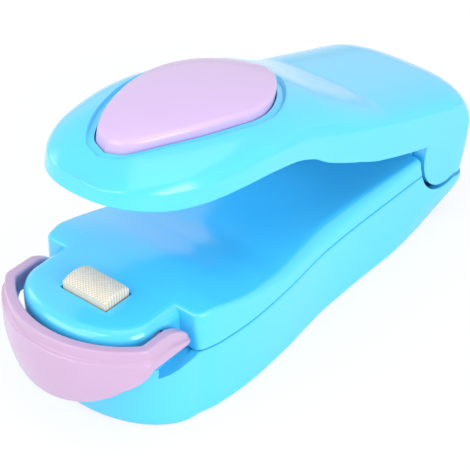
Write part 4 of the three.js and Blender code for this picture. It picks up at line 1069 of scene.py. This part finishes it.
# %% Lamps and the world
def softbox(name, place, aim, size, watts):
    data = bpy.data.lights.new(name, "AREA")
    data.shape, data.size, data.size_y, data.energy = "RECTANGLE", size[0], size[1], watts
    lamp = bpy.data.objects.new(name, data)
    bpy.context.scene.collection.objects.link(lamp)
    lamp.location = place
    lamp.rotation_mode = "QUATERNION"
    lamp.rotation_quaternion = (Vector(aim) - Vector(place)).to_track_quat("-Z", "Y")


softbox("top_box", (0.1, 0.1, 0.6), (0, 0, 0.02), (0.6, 0.6), 1.2)
softbox("right_box", (0.55, -0.1, 0.22), (0, 0, 0.02), (0.35, 0.3), 1.9)
softbox("front_box", (-0.25, -0.6, 0.3), (0, 0, 0.02), (0.6, 0.4), 1.9)
softbox("front_strip", (-0.02, -0.4, 0.46), (0, -0.05, 0.025), (0.26, 0.035), 0.45)
softbox("left_strip", (-0.5, -0.12, 0.25), (0, 0, 0.02), (0.15, 0.3), 0.3)

world = bpy.data.worlds.new("studio")
bpy.context.scene.world = world
world.use_nodes = True
world.node_tree.nodes.clear()
tree = world.node_tree
path = node(tree, "ShaderNodeLightPath")
seen = node(tree, "ShaderNodeMath", {"operation": "MAXIMUM"},
            {0: path.outputs["Is Camera Ray"], 1: path.outputs["Is Glossy Ray"]})
clear = node(tree, "ShaderNodeMath", {"operation": "MAXIMUM"},
             {0: seen.outputs[0], 1: path.outputs["Is Transmission Ray"]})
fill = node(tree, "ShaderNodeBackground", {"Color": (0.95, 0.97, 1.0, 1), "Strength": 0.6})
white = node(tree, "ShaderNodeBackground", {"Color": (1, 1, 1, 1), "Strength": 1.0})
mixed = node(tree, "ShaderNodeMixShader",
             links={0: clear.outputs[0], 1: fill.outputs[0], 2: white.outputs[0]})
node(tree, "ShaderNodeOutputWorld", links={"Surface": mixed.outputs[0]})
print("lamps:", len(bpy.data.lights))

# %% [markdown]
# The camera was solved from the photograph's straight edges: 40 degrees round to the right, 37 degrees
# up, 40 cm away, with a long lens.

# %% Camera
camera_distance = 0.4


def make_camera():
    data = bpy.data.cameras.new("camera")
    data.lens, data.sensor_width = 131.69, 36.0
    camera = bpy.data.objects.new("camera", data)
    bpy.context.scene.collection.objects.link(camera)
    azimuth, elevation = math.radians(39.858), math.radians(36.634)
    level = math.cos(elevation)
    back = Vector((math.sin(azimuth) * level, -math.cos(azimuth) * level, math.sin(elevation)))
    aim = Vector((-13.556, 52.444 + shift_y, -0.651)) / 1000
    camera.location = aim + back * camera_distance
    camera.rotation_mode = "QUATERNION"
    camera.rotation_quaternion = (-back).to_track_quat("-Z", "Y")
    data.clip_start, data.clip_end = 0.02, 20
    bpy.context.scene.camera = camera


make_camera()
bpy.context.scene.view_settings.view_transform = "Standard"
print("camera: %.0f mm away" % (camera_distance * 1000))

# %% Sizes and finish
dressed_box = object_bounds()
for label, corners in (("CAD", cad_box), ("dressed", dressed_box)):
    print(label, [round((corners[1][i] - corners[0][i]) * 1000, 1) for i in range(3)], "mm")
